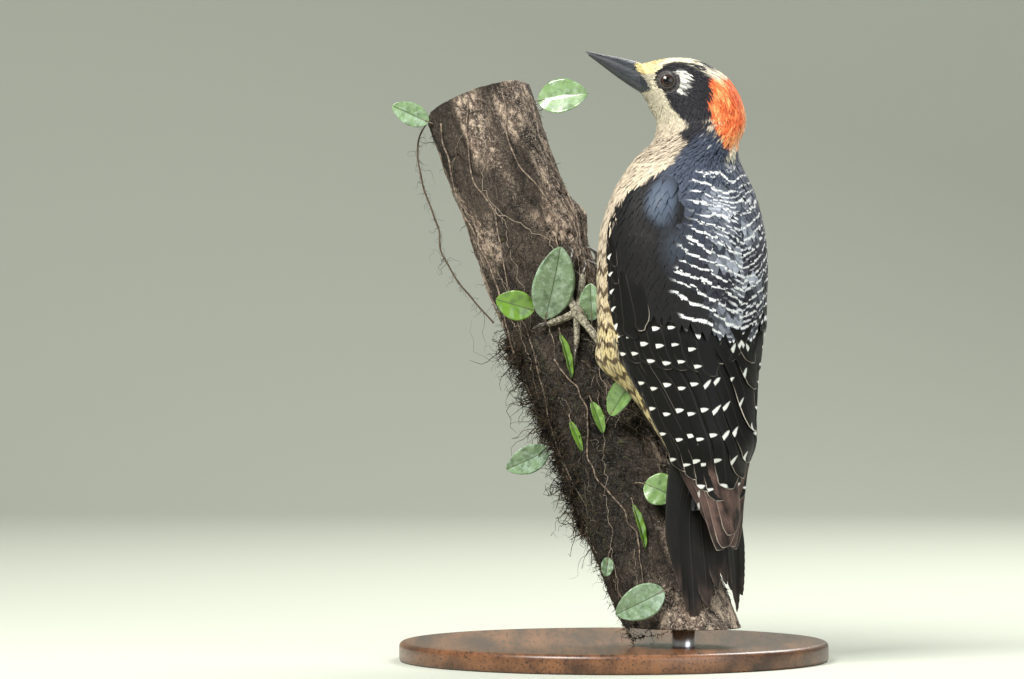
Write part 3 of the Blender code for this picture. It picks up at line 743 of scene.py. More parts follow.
def plume_coat(name, roots, length, width, lift, look, finish=COAT, rows=6, columns=7,
               rag=0.08, crown=0.35, surface=on_body, tilt=None, replaces=(), shade=0.08, seam=0.3,
               patchy=0.05, cant=0.05, own=False, uneven=0.06, depth=None, level=back_to_station):
    """Join one small feather for each root into a mesh.

    roots are (run along the side, angle). length, width and lift are one number for each feather: it
    runs from under the coat at its root to lift above the surface at its tip. With own, each point of a
    feather has its own colour; without, the whole feather has that of one place near its tip.
    """
    count = len(roots)
    u, v = vane_grid(count, rows, columns, rag)
    along0, angle0 = roots[:, 0][:, None, None], roots[:, 1][:, None, None]
    step = surface(roots[:, 0], roots[:, 1] + 1.0, 0.0) - surface(roots[:, 0], roots[:, 1] - 1.0, 0.0)
    per_degree = np.maximum(np.linalg.norm(step, axis=-1) / 2, 0.02)[:, None, None]
    size = [np.broadcast_to(value, (count,))[:, None, None] for value in (length, width, lift)]
    lean = rng.normal(0, 0.10, (count, 1, 1)) + (0 if tilt is None else tilt[:, None, None])
    sideways = v * size[1] / 2 + lean * u * size[0]
    along = along0 - u * size[0] * np.sqrt(np.maximum(1 - lean**2, 0.2))
    angle = angle0 + sideways / per_degree
    depth = coat_depth(back_to_station(roots[:, 0]))[:, None, None] if depth is None else depth
    rise = -depth + (depth + size[2]) * (1 - (1 - np.clip(u, 0, 1)) ** 2.2)
    height = (rise - crown * size[1] * 0.16 * np.abs(v) ** 2
              + uneven * rng.uniform(-1, 1, (count, 1, 1)) * depth * u)
    height = height + cant * np.sign(angle0 + 1e-9) * v * size[1] / 2 * u
    points = surface(along, angle, height)
    tint, bars, flank = look(along, angle)
    if not own:
        tint = look(along0 - 0.7 * size[0], angle0 + lean * 0.7 * size[0] / per_degree)[0]
    tone = 1 + shade * rng.normal(0, 1, (count, 1, 1, 1))
    # Painted shade: each feather darkens towards its root, which lies under the feathers above it.
    edge = 1 - 0.12 * (1 - np.clip(u, 0, 1)[..., None]) ** 1.5
    tint = np.clip(tint * tone * edge, 0, 1)
    station = level(along)
    phase = bar_phase(station, angle0 + 0.6 * (angle - angle0)) + rng.normal(0, patchy, (count, 1, 1))
    chevron = chevron_phase(station, angle) + rng.normal(0, 0.04, (count, 1, 1))
    patch = np.stack([0.5 + angle0 / 360 * 0.98 + v * 0.0014,
                      0.01 + 0.98 * along0 / SPINE[-1] + (u - 0.5) * 0.0028], -1)
    lie = np.stack([v * size[1] / 2 + 0 * u, u * size[0]], -1)
    seed = rng.random((count, 1, 1)) + 0 * u
    probe = points[count // 2]
    facing = np.cross(probe[2, 2] - probe[2, 1], probe[3, 1] - probe[2, 1])
    middle = roots[count // 2][:, None]
    outward = (surface(*middle, 1.0) - surface(*middle, 0.0))[0]
    faces = quads(rows, columns, copies=count)[:, ::int(np.sign(facing @ outward))]
    maps = {"OFBake": np.clip(patch, 0.001, 0.999), "lie": lie}
    # Each point also carries how much painted shade lies between its barbs.
    values = {"bar": phase, "barred": bars, "chevron": chevron, "flank": flank, "seed": seed,
              "seam": seam + 0 * seed}
    size, per_face = rows * columns, (rows - 1) * (columns - 1)
    parts = math.ceil(count * per_face * 2 / MOST_TRIANGLES)
    for part in range(parts):
        first, last = count * part // parts, count * (part + 1) // parts
        keep = slice(first * size, last * size)
        kept_faces = faces[first * per_face:last * per_face] - first * size
        make_piece(name + ("_%d" % (part + 1) if parts > 1 else ""), points.reshape(-1, 3)[keep],
                   [kept_faces], finish, replaces, {key: value.reshape(-1, 2)[keep] for key,
                                                          value in maps.items()},
                   {key: np.broadcast_to(value, u.shape).ravel()[keep] for key, value in values.items()},
                   {"tint": tint.reshape(-1, 3)[keep]})


def look(along, angle):
    return plumage(back_to_station(along), (angle + 180) % 360 - 180)


def trim(roots, keep):
    """Those roots whose station and angle from the spine pass a test."""
    return roots[keep(back_to_station(roots[:, 0]), from_spine(roots[:, 1]))]


# %% [markdown]
# ## The coat of body, neck and head
# Feathers shrink from 10 mm on the trunk to 2 mm on the face. The trunk is covered where the wings
# leave it bare; the wings get coverts of their own.

# %% Trunk, neck and head feathers
NECK_RUN, HEAD_RUN, FACE_RUN = run(9.6), run(12.6), run(17.4)
FULL = 1.0


def pitch_of(table):
    return lambda along: float(line(table, along)) / math.sqrt(FULL)


MANTLE_TO = [(2, 25), (3.9, 34), (4.0, 0), (5.1, 0), (5.3, 20), (5.7, 44), (6, 50), (7, 55), (8, 62),
             (8.7, 84), (9.4, 76)]
BREAST_FROM = [(0, 84), (3, 90), (4, 94), (6, 102), (7.5, 104), (8.3, 98), (8.8, 68), (11, 60)]
mantle_roots = quincunx(run(-0.6), NECK_RUN + 7, pitch_of([(0, 2.4), (60, 2.3), (100, 1.8)]), body_girth)
mantle_roots = trim(mantle_roots, lambda s, a: a < line(MANTLE_TO, s))
low = line([(0, 1.1), (6, 1.0), (9, 0.8), (11, 0.55)], back_to_station(mantle_roots[:, 0]))
plume_coat("coat_mantle", mantle_roots, 9.0 * low, 5.4 * low, 0.12, look, rows=7,
           columns=9, rag=0.07, crown=0.22, patchy=0.09)

breast_roots = quincunx(run(-0.6), NECK_RUN + 6, pitch_of([(0, 1.75), (60, 1.6), (100, 1.3)]), body_girth)
breast_roots = trim(breast_roots, lambda s, a: a > line(BREAST_FROM, s))
low = line([(0, 1.1), (6, 1.0), (9, 0.9), (11, 0.75)], back_to_station(breast_roots[:, 0]))
plume_coat("coat_breast", breast_roots, 8.0 * low, 2.7 * low, 0.2, look, rows=6,
           columns=5, rag=0.18, seam=0.12, uneven=0.03, cant=0.03)

neck_roots = quincunx(NECK_RUN - 2, HEAD_RUN + 4, pitch_of([(NECK_RUN, 1.1), (HEAD_RUN, 0.78)]), body_girth)
low = ease(9.4, 13.2, back_to_station(neck_roots[:, 0]))
plume_coat("coat_neck", neck_roots, 5.6 - 2.0 * low, 1.9 - 0.8 * low, 0.25, look,
           rows=5, columns=4, rag=0.3, seam=0.16)

HEAD_PITCH = [(HEAD_RUN, 0.66), (FACE_RUN, 0.5), (SPINE[-1], 0.42)]
head_roots = quincunx(HEAD_RUN - 1, run(21.9), pitch_of(HEAD_PITCH), body_girth)


def from_eye(points):
    """Distance from the line through both eyes, for points near the side of the head."""
    aside = (points - EYE) @ HEAD_LEFT
    flat = np.linalg.norm((points - EYE) - aside[..., None] * HEAD_LEFT, axis=-1)
    return np.where(np.abs(aside) > 3.5, flat, 99.0)


small = ease(13.0, 18.5, back_to_station(head_roots[:, 0]))
long = ((4.2 - 2.1 * small) * (1 + 0.25 * (1 - ease(30, 60, np.abs(head_roots[:, 1])))
                               * (1 - ease(0.7, 1.0, small))))
for _ in range(5):
    tips = body(back_to_station(head_roots[:, 0] - long), head_roots[:, 1])
    long = np.where(from_eye(tips) < 3.2, long * 0.62, long)
places = on_body(head_roots[:, 0], head_roots[:, 1], 0.0)
keep = (from_eye(places) > 3.3) & (long > 0.3) & (behind_bill(places) > 0.05)
head_roots, small, long = head_roots[keep], small[keep], long[keep]
shallow = 0.2 + 0.8 * ease(0.0, 2.0, behind_bill(places[keep]))
head_depth = (coat_depth(back_to_station(head_roots[:, 0])) * shallow)[:, None, None]
plume_coat("coat_head", head_roots, long, np.minimum(1.05 - 0.45 * small, long * 0.6), 0.14 - 0.07 * small,
           look, rows=5, columns=4, rag=0.3, crown=0.3, seam=0.2, shade=0.10, depth=head_depth)

# %% [markdown]
# ## Wing coverts
# The small coverts lie close, and the blue-grey over the bend of the shoulder is painted sheen, with a
# painted highlight along a ridge below it and a painted shadow in the crease behind it. They are the
# same small feathers as on the body, wider and flatter, set on the folded wing's own surface.

# %% Lesser and median coverts


def mirrored(surface):
    """The same surface on the bird's right: angles change sign."""
    return lambda along, angle, up: surface(along, -angle, up)


WING_SURFACE = {1: wing, -1: mirrored(wing)}


def leading_edge(height):
    return smooth(WING_EDGES, height)[..., 1]


def inner_edge(height):
    return smooth(WING_EDGES, height)[..., 0]


def wing_girth(height):
    low, high = max(float(inner_edge(height)) - 12, 0), float(leading_edge(height)) - 4
    angle = np.linspace(low, high, 60)
    ring = wing(np.full(60, height), angle)
    return angle, np.concatenate([[0], np.cumsum(np.linalg.norm(np.diff(ring, axis=0), axis=1))])


def height_to_station(height):
    return np.interp(height, smooth(BODY, STATIONS)[..., 0], STATIONS)


def covert_look(height, angle):
    """Painted sheen of blue-grey on the round of the wing's bend, with a fainter painted highlight along a
    ridge below it and a painted shadow in the crease behind it; brown black elsewhere.
    """
    aside = np.abs(angle)
    spot = np.stack([height, aside * 0.35, np.sign(angle) * 9], -1)
    blur = 0.12 * noise(spot, 5, 3)
    round_bend = np.hypot((height - 142.3) / 8.4, (aside - 61) / 15.5) + blur
    # Painted sheen: blue-grey laid on the round of the bend.
    bend = 1 - ease(0.5, 1.1, round_bend)
    # Painted shadow in the crease behind the bend, where the wing's edge stands over the back.
    crease_shadow = np.exp(-(((round_bend - 1.18) / 0.16) ** 2))
    crease_shadow = crease_shadow * ease(-0.3, 0.5, (61 - aside) / 15.5 + 0.5 * (height - 142) / 8.4)
    # Painted highlight: a fainter blue-grey along a ridge below the bend.
    ridge_highlight = 1 - ease(0.1, 1.15, np.hypot((height - 128) / 13.0, (aside - 45) / 17.0) + blur)
    painted_sheen = np.maximum(bend, 0.36 * ridge_highlight) * (1 - crease_shadow)
    dark = paint(18, 17, 18)
    colour = dark + (paint(72, 82, 97) - dark) * painted_sheen[..., None]
    colour = colour * ((1 + 0.10 * noise(spot, 3.0, 9)) * (1 - 0.55 * crease_shadow))[..., None]
    return colour, plumage(height_to_station(height), angle)[1], 0 * height


wing_roots = quincunx(103.0, 149.5, pitch_of([(103, 2.6), (147, 1.9)]), wing_girth, 0.25)
COVERTS_FROM = [(20, 107), (38, 108), (50, 110), (60, 112.5), (110, 112.5)]
wing_roots = wing_roots[wing_roots[:, 0] > line(COVERTS_FROM, wing_roots[:, 1])]
shrink = line([(103, 1.0), (149, 0.6)], wing_roots[:, 0])
raised_low = (1 - ease(109, 118, wing_roots[:, 0])) * (1 - ease(46, 56, wing_roots[:, 1]))
wing_lift = 0.09 - 0.14 * (1 - ease(106, 112, wing_roots[:, 0])) + 0.3 * ease(138, 147, wing_roots[:, 0])
wing_lift = wing_lift + 0.75 * raised_low


def shoulder(surface, amount):
    """The wing's surface with the round swelling of the bend."""
    def raised(height, angle, up):
        swell = amount * np.exp(-(((height - 142) / 6.5) ** 2) - (((np.abs(angle) - 61) / 11) ** 2))
        return surface(height, angle, up + swell)
    return raised


for name, side in SIDES:
    plume_coat("coat_wing_" + name, wing_roots, 9.0 * shrink, 4.6 * shrink, wing_lift,
               covert_look, GLOSSY_COAT, rows=6, columns=8, rag=0.03, crown=0.05, uneven=0.01,
               surface=shoulder(WING_SURFACE[side], 1.8 if side == 1 else 0.3), level=height_to_station,
               replaces=["wing_" + name], shade=0.015, seam=0.03, own=True, cant=0.0, depth=0.33)

# %% [markdown]
# The cream feathers of the breast hang loosely over the front edge of the wing, as fine hairs.

# %% Breast fringe over the wing
dice = np.random.default_rng(41)
count = 520
height = dice.uniform(102, 146.5, count)
fringe_roots = np.stack([height, leading_edge(height) - 0.2 + dice.uniform(-3.5, 2.5, count)], -1)
for name, side in SIDES:
    plume_coat("coat_fringe_" + name, fringe_roots, dice.uniform(3.0, 6.5, count),
               dice.uniform(0.35, 0.8, count), 0.34,
               lambda height, angle: plumage(height_to_station(height), 0 * angle + 126),
               surface=WING_SURFACE[side], rows=5, columns=3, rag=0.3,
               replaces=["wing_" + name], seam=0.1, crown=0.1, cant=0.0, depth=0.3,
               tilt=np.full(count, -0.22), level=height_to_station)

# %% [markdown]
# ## Flight feathers
# Each flight feather is one long vane, thin but solid. Its outer edge follows a path down the folded
# wing, the next feather inwards lies on top of it, and its spots are drawn from its own measure: how
# far from the tip, and how far from the outer edge.

# %% Vanes and their material


def vane_finish(name, dark, rough=0.5):
    made = Finish(name, Roughness=rough, Specular_IOR_Level=0.16)
    edge, up = made.map_axes("lie")
    shaft = made.read("shaft")
    barb = shaft.maths("ABSOLUTE")
    barbs = made.grain(((up - barb * 0.9) * 3.4, shaft * 0.12, made.read("seed") * 30.0), 3.0, 0.65)
    worn = made.grain((up * 0.16, edge * 0.3, made.read("seed") * 17.0))
    faded = made.read("worn") * (1.0 - up.band(17.0, 26.0))
    colour = made.mix(dark, paint(112, 88, 80), faded * worn.band(0.25, 0.75))
    # Painted shade: the colour darkens in the grooves between the barbs.
    colour = made.mix(colour, (0.0, 0.0, 0.0), 0.35 * (1 - barbs.band(0.3, 0.6)))
    rachis = 1.0 - barb.band(0.10, 0.26)
    colour = made.mix(colour, paint(48, 43, 40), rachis * 0.45)
    rim = made.read("rim") + 0.25 * (barbs - 0.5)
    pale = made.read("pale")
    rim_share = pale * (1.0 - (up * (1.15 - 0.75 * pale)).band(2.5, 7.0)) + 0.16 * made.read("worn")
    colour = made.mix(colour, paint(206, 194, 178), (1.0 - rim.band(0.10, 0.34)) * rim_share)
    ripple = 0.5 * (barbs - 0.5)
    count = made.read("row") - made.read("slant") * edge + 0.05 * (worn - 0.5)
    beat = count.from_whole()
    inward = (edge + ripple) * made.read("taper")
    reach = 0.46 + 0.4 * (worn - 0.5) + 0.14 * made.read("seed") - inward * inward * inward
    spot = 1.0 - (beat * made.read("period") + ripple * 0.6 - reach).band(-0.22, 0.22)
    spot = spot * (1.0 - (up - made.read("limit")).band(-0.2, 0.2))
    colour = made.mix(colour, paint(212, 212, 205), spot * made.read("spots"))
    made.set("Base Color", colour)
    made.bump(barbs * 0.7 + rachis * 0.6, 0.10, 0.55)
    return made.material


VANE = vane_finish("vane", paint(11, 10, 9))


# Millimetres between the white spots of a secondary, and what the vane material reads from each vane.
SPOT_GAP = 7.7
VANE_DEFAULTS = {"spots": 0, "period": SPOT_GAP, "pale": 0, "worn": 0, "taper": 0.33, "limit": 99,
                 "slant": 0.02}


def taper_tip(tip_gap, length):
    """Share of the full width at a distance from the tip: a round end of a given length."""
    t = np.clip(tip_gap / length, 0, 1)
    return (1 - (1 - t) ** 2.2) ** 0.5


def make_vanes(name, feathers, surface, replaces, rows=44, columns=11):
    """Join long vanes, each described by a dict.

    path is the height and angle of the outer edge from tip to root, width the full width and round the
    length of the rounded tip. top is the height of the outer edge, drop how far the inner side dives
    under its neighbour, and sink how far the root does. The other keys are the markings.
    """
    count = len(feathers)
    packs = {key: [] for key in ("points", "edge", "up", "shaft", "rim", "row", "patch")}
    near_tip = 0.25 * np.linspace(0, 1, rows // 2, endpoint=False) ** 1.6
    t = np.concatenate([near_tip, np.linspace(0.25, 1, rows - rows // 2)])
    v = 0.5 - 0.5 * np.cos(np.pi * np.linspace(0, 1, columns))
    for index, one in enumerate(feathers):
        path = np.array(one["path"], dtype=float)
        height = path[0, 0] + (path[-1, 0] - path[0, 0]) * t
        outer = smooth(path, height)[:, 0]
        gap = np.abs(height - path[0, 0]) + 0.02
        wide = one["width"] * taper_tip(gap, one.get("round", 9.0)) * line([(0, 1), (0.6, 1), (1, 0.75)], t)
        per_degree = (np.linalg.norm(surface(height, outer + 1, 0.0) - surface(height, outer - 1, 0.0),
                                     axis=-1) / 2)
        d = v[None, :] * wide[:, None]
        angle = outer[:, None] - d / per_degree[:, None]
        top = one["top"] - one["drop"] * ease(0, 6.0, d) - 0.03 * np.maximum(d - 6, 0)
        top = top - 0.10 * (1 - np.clip(d / 0.7, 0, 1)) ** 2
        stem = 0.34 * wide[:, None]
        top = (top + 0.09 * np.exp(-(((d - stem) / 0.25) ** 2))
               - one.get("sink", 0.0) * ease(0.5, 1.0, t)[:, None])
        high, low = (surface(height[:, None] + 0 * angle, angle, top - below) for below in (0.0, 0.16))
        packs["points"].append(closed_sheet(high, low))
        packs["patch"].append(sheet_map(v, t, index, count))
        side_gap = np.minimum(d + one.get("bare", 0.0), wide[:, None] - d)
        gap = gap[:, None]
        for key, number in (("edge", d), ("up", gap), ("shaft", d - stem),
                            ("rim", np.minimum(side_gap, gap * 0.8)),
                            ("row", (gap - one.get("first", 3.0)) / one.get("period", SPOT_GAP))):
            packs[key].append(on_sheet(number, d.shape))
    size = rows * columns * 2 + 2
    field = {key: np.concatenate([np.asarray(part).reshape(size, -1) for part in packs[key]])
             for key in packs}
    values = {key: field[key] for key in ("shaft", "rim", "row")}
    for key, default in VANE_DEFAULTS.items():
        values[key] = np.repeat([float(one.get(key, default)) for one in feathers], size)
    values["seed"] = np.repeat(rng.random(count), size)
    faces = tube_faces(rows, columns * 2, count)
    probe = field["points"][faces[0][columns // 2]]
    facing = np.cross(probe[1] - probe[0], probe[2] - probe[0])
    middle = field["points"][:size].mean(0) - AXIS
    if facing @ (middle * [1, 1, 0]) < 0:
        faces = [part[:, ::-1] for part in faces]
    lie = np.concatenate([field["edge"], field["up"]], axis=1)
    make_piece(name, field["points"], faces, VANE, replaces,
               {"OFBake": field["patch"], "lie": lie}, values)


# %% [markdown]
# The folded wing from the inside out: five tertials that reach the spine, five secondaries, and the
# worn primaries, which are the longest. Greater coverts and primary coverts lie over their roots.

# %% Both folded wings
FLIGHT = [
    dict(path=[(37.6, 24), (39, 30), (42, 37), (50, 57), (62, 84), (72, 90), (90, 93), (112, 104)], width=9,
         round=14, worn=0.35, pale=0.1, top=-0.30, drop=0.5),
    dict(path=[(36.0, 27), (38, 32), (42, 39), (50, 50), (62, 70), (72, 80), (90, 88), (112, 98)], width=10,
         round=13, worn=0.65, pale=0.2, top=-0.20, drop=0.5),
    dict(path=[(36.8, 18), (38, 23), (42, 30), (50, 40), (62, 58), (74, 72), (90, 80), (112, 92)], width=10,
         round=10, worn=0.9, pale=0.3, top=-0.05, drop=0.5),
    dict(path=[(40.5, 8), (42, 14), (46, 21), (53, 31), (64, 48), (76, 62), (90, 72), (112, 86)], width=11,
         round=9, worn=1.0, pale=0.3, top=0.0, drop=0.4),
]
SECONDARIES = [
    dict(path=[(60.0, 74), (61.5, 86), (66, 90.5), (72, 92), (85, 91), (98, 96), (112, 104)], width=9,
         round=6),
    dict(path=[(57.5, 60), (58.8, 69), (62, 72.5), (70, 74.5), (85, 81), (98, 87), (112, 97)], width=10,
         round=6),
    dict(path=[(54.0, 44), (55.2, 53), (58.5, 57), (70, 60), (85, 67), (98, 75), (112, 88)], width=10,
         round=6),
    dict(path=[(51.0, 27), (52.3, 37), (56, 43), (63, 50), (70, 52), (85, 56), (98, 66), (112, 80)],
         width=10, round=6),
    dict(path=[(54.5, 9), (55.5, 20), (58.5, 28), (64, 34), (70, 37), (85, 44), (98, 55), (112, 70)],
         width=10, round=6),
]
TERTIALS = [
    dict(path=[(57.6, -18), (58.6, -6), (61, 6), (65, 16), (70, 24), (85, 34), (98, 46), (112, 62)],
         width=10.5, round=6),
    dict(path=[(62.3, -22), (63.4, -11), (66, 0), (70, 10), (76, 17), (85, 24), (98, 37), (112, 54)],
         width=11.5, round=6.5),
    dict(path=[(71.8, -25), (72.8, -16), (75, -8), (79, 0), (85, 7), (92, 15), (98, 24), (112, 42)],
         width=12, round=7, pale=0.95),
    dict(path=[(84.5, -22), (85.5, -14), (88, -6), (91.5, 1), (96, 8), (101, 16), (106, 25), (111, 34)],
         width=12, round=6, limit=18.0, sink=2.6),
    dict(path=[(92.5, -14), (93.3, -8), (95.5, -1), (98.5, 4), (102, 9), (106, 15), (111, 23)], width=10,
         round=5, limit=11.0, sink=2.6),
]
FLIGHT = [{"spots": 0.5, "first": 12.0 + 5 * k, "period": 60.0, "taper": 0.7, **one}
          for k, one in enumerate(FLIGHT)]
SHIFTS = [0.9, -0.7, 0.5, -0.5, 0.7]
for k, one in enumerate(SECONDARIES):
    tip = one["path"][0][0]
    FLIGHT.append({"spots": 1.0, "limit": 89.0 - tip, "first": (62.6 - tip) % SPOT_GAP + SHIFTS[k],
                   "top": 0.05 + 0.02 * k, "drop": 0.55, "sink": 1.0, "pale": 0.5, **one})
for k, one in enumerate(TERTIALS):
    tip = one["path"][0][0]
    FLIGHT.append({"spots": 1.0, "limit": 88.5 - tip, "first": (62.4 - tip) % SPOT_GAP + 1.1 * k,
                   "top": 0.12 + 0.08 * k, "drop": 0.5, "sink": 1.0, "pale": 0.4, "taper": 0.24,
                   "slant": 0.09, **one})
GREATER = []
for k in range(6):
    outer = 97 - 11.5 * k
    tip = 92.7 + 0.5 * math.sin(k * 2.1) - 0.7 * k
    path = [(tip, outer - 12), (tip + 1.0, outer - 4), (tip + 3.5, outer), (tip + 10, outer + 3),
            (tip + 19, outer + 8)]
    GREATER.append(dict(path=path, width=8.6, round=5.0, top=0.26 + 0.015 * k, drop=0.3, spots=1.0,
                        period=5.2 + 0.2 * math.sin(k * 3.1), first=2.7 + 0.5 * math.sin(k * 1.7), pale=0.1,
                        limit=15.8, sink=1.7))
for k in range(5):
    tip = 101 + 5.2 * k
    path = [(tip, 93 + k * 1.5), (tip + 1.5, 98 + k * 1.6), (tip + 6, 100.5 + k * 2), (tip + 14, 104 + k * 2)]
    GREATER.append(dict(path=path, width=5.0, round=4.0, top=0.3, drop=0.35, spots=1.0, period=30.0,
                        first=2.2, pale=0.1, taper=0.3, sink=0.6))
GREATER.append(dict(path=[(100.0, 82), (101.5, 91), (106, 94.5), (113, 96.5), (124, 104)], width=7.5,
                    round=6.0, top=0.5, drop=0.3, pale=0.0, sink=0.9))
GREATER.append(dict(path=[(102.5, 76), (103.6, 81), (106, 83.5), (110, 86), (116, 90), (126, 98)],
                    width=7.5, round=7.5, bare=9.0, top=0.62, drop=0.45, pale=0.5, sink=1.0))


def right_wing(height, angle, up):
    """The mirrored wing, whose innermost feathers pass under those of the left."""
    return wing(height, -angle, up - ease(98, 86, height) * ease(42, 24, angle))


for (name, side), surface in zip(SIDES, (wing, right_wing)):
    make_vanes("flight_" + name, FLIGHT, surface, ["wing_" + name])
    make_vanes("coverts_" + name, GREATER, surface, ["wing_" + name], rows=24, columns=9)

height = np.linspace(67, 146, 60)
across = np.linspace(0, 1, 24)
for name, side in SIDES:
    inner, outer = inner_edge(height) + 5, leading_edge(height) - 4
    angle = side * (inner[:, None] + (outer - inner)[:, None] * across)
    high = wing(height[:, None] + 0 * angle, angle, -0.75 - 0.7 * ease(138, 146, height)[:, None] + 0 * angle)
    low = wing(height[:, None] + 0 * angle, angle, -1.6 + 0 * angle)
    faces = tube_faces(60, 48)
    faces = faces if side == 1 else [part[:, ::-1] for part in faces]
    plain = Finish("wing_base_" + name, Base_Color=paint(24, 23, 25), Roughness=0.7)
    make_piece("wing_base_" + name, closed_sheet(high, low), faces, plain.material,
               ["wing_" + name], {"OFBake": sheet_map(across, np.linspace(0, 1, 60))})

# %% [markdown]
# ## Tail
# A woodpecker's tail is its third leg: stiff vanes that narrow to hard points and press on the bark.
# Twelve vanes would do, but the outermost pair is tiny and hidden, so ten are laid in a fan.

# %% Tail vanes
# The branch: its radius, where it is sawn off, and the x of its centre line as a polynomial in height.
PERCH_RADIUS, SAWN_LOW, SAWN_HIGH = 17.0, 12.0, 171.0
PERCH_LINE = (26.0, -0.43, 0.0002)


def perch_centre(height):
    """Back distance of the branch's centre line from the bird's axis."""
    return (PERCH_LINE[0] + PERCH_LINE[1] * height + PERCH_LINE[2] * height**2 - AXIS[0]) / BACK[0]


def perch_lean(height):
    """How much the centre line moves back for each millimetre up."""
    return (PERCH_LINE[1] + 2 * PERCH_LINE[2] * height) / BACK[0]


def perch_frame(height):
    """Centre of the branch at a height, and the level-most unit vector square to it, towards the bird."""
    height = np.asarray(height, float)
    along = perch_lean(height)[..., None] * BACK + UP
    along = along / np.linalg.norm(along, axis=-1, keepdims=True)
    centre = AXIS + perch_centre(height)[..., None] * BACK + height[..., None] * UP
    return centre, np.cross(along, LEFT)


def perch_point(angle, height, above):
    """On or above the branch: angle in degrees round it from the bird's side towards the left."""
    angle, height, above = np.broadcast_arrays(angle, height, above)
    centre, outward = perch_frame(height)
    turn = np.radians(angle)[..., None]
    return centre + (PERCH_RADIUS + above)[..., None] * (np.cos(turn) * outward + np.sin(turn) * LEFT)


def tail_sheet(height, left, above):
    """The curved sheet in which the tail feathers lie, from the rump down to the bark."""
    height, left, above = np.broadcast_arrays(height, left, above)
    down = np.clip((57.6 - height) / 36.0, 0, 1.2)
    touch = 21.0
    across = np.minimum(np.abs(left), 15.5)
    reach = math.sqrt(1 + perch_lean(touch) ** 2) * np.sqrt(PERCH_RADIUS**2 - across**2)
    tip = np.maximum(perch_centre(touch) + reach + 1.7, 12.5)
    middle = (11.0 - 0.012 * left**2) * (1 - down) + tip * down
    return AXIS + (middle + above)[..., None] * BACK + left[..., None] * LEFT + height[..., None] * UP


# Each vane: its share of the fan's half width, the height of its tip and its width.
TAIL = [
    (-0.93, 21.5, 7.5), (-0.72, 16.6, 8.0), (-0.55, 19.0, 8.5), (-0.32, 23.5, 8.5), (-0.12, 25.5, 8.5),
    (0.95, 24.0, 7.5), (0.80, 17.8, 8.0), (0.68, 14.6, 8.5), (0.42, 19.0, 8.5), (0.16, 24.5, 8.5),
]
TAIL_ROOT = 64.0
rows, columns = 60, 11
t = np.concatenate([np.linspace(0, 0.25, 26, endpoint=False), np.linspace(0.25, 1, 34)])
v = np.linspace(-1, 1, columns)
packs = {key: [] for key in ("points", "edge", "up", "shaft", "rim", "patch")}
for index, (share, tip, width) in enumerate(TAIL):
    height = tip + (TAIL_ROOT - tip) * t
    middle = share * 14.5 * (1 - 0.22 * ease(40, TAIL_ROOT, height))
    gap = height - tip
    half = width / 2 * np.clip(gap / 15, 0, 1) ** 0.7 * (1 - 0.1 * ease(34, 60, height)) + 0.25
    wave = (0.10 * np.sin(gap[:, None] * 2.9 + index) * ease(0.55, 1.0, np.abs(v))[None, :]
            * (gap < 14)[:, None])
    aside = v[None, :] * half[:, None]
    left = middle[:, None] + aside + wave
    order = 0.22 * (index % 5 - len(TAIL) / 2)
    over = (0.55 - 0.35 * v[None, :] ** 2 * half[:, None] / 4 + 0.25 * np.exp(-((aside / 0.4) ** 2))
            + order * 0.6)
    over = over + 4.2 * ease(46, 62, height)[:, None] * (1 - 0.6 * (left / 11) ** 2)
    high, low = (tail_sheet(height[:, None], left, over - below) for below in (0.0, 0.22))
    packs["points"].append(closed_sheet(high, low))
    packs["patch"].append(sheet_map((v + 1) / 2, t, index, len(TAIL)))
    from_edge = (1 - v if share > 0 else 1 + v)[None, :] * half[:, None]
    rim = (1 - np.abs(v))[None, :] * half[:, None]
    for key, number in (("edge", from_edge), ("up", gap[:, None]), ("shaft", aside), ("rim", rim)):
        packs[key].append(on_sheet(number, left.shape))
size = rows * columns * 2 + 2
faces = tube_faces(rows, columns * 2, len(TAIL))
values = {key: np.concatenate(packs[key]) for key in ("shaft", "rim")}
up = np.concatenate(packs["up"])
for key, number in {**VANE_DEFAULTS, "row": 0.5, "taper": 0.3, "limit": 1, "slant": 0}.items():
    values[key] = np.full(len(up), float(number))
values["worn"] = 0.04 + 0.3 * (1 - ease(2, 9, up))
values["seed"] = np.repeat(rng.random(len(TAIL)), size)
tail_map = {"OFBake": np.concatenate(packs["patch"]),
            "lie": np.stack([np.concatenate(packs["edge"]), up], -1)}
TAIL_VANE = vane_finish("tail_vane", paint(17, 16, 13), 0.6)
make_piece("tail", np.concatenate(packs["points"]), faces, TAIL_VANE, ["tail"], tail_map,
           values)

# %% [markdown]
# ## Tubes
# Bristles, toes, claws, stems and rootlets are all rings carried along a path, so they share a function
# that turns the rings without twist.

# %% Rings along a path


def carry(path, radii, sides, squash=1.0, start=None):
    """Rings round paths of shape (..., points, 3), on two normals that are carried along untwisted."""
    path = np.asarray(path, float)
    tangent = np.gradient(path, axis=-2)
    tangent /= np.linalg.norm(tangent, axis=-1, keepdims=True)
    side = (np.cross(tangent[..., 0, :], UP + 0.01) if start is None
            else np.broadcast_to(start, tangent[..., 0, :].shape))
    frames = []
    for k in range(path.shape[-2]):
        now = tangent[..., k, :]
        side = side - now * (side * now).sum(-1, keepdims=True)
        side = side / np.linalg.norm(side, axis=-1, keepdims=True)
        frames.append(side)
    first = np.stack(frames, -2)
    second = np.cross(tangent, first)
    turn = np.arange(sides) * 2 * math.pi / sides
    radii = np.asarray(radii)[..., None, None]
    return (path[..., None, :] + radii * (np.cos(turn)[:, None] * first[..., None, :]
                                          + squash * np.sin(turn)[:, None] * second[..., None, :]))


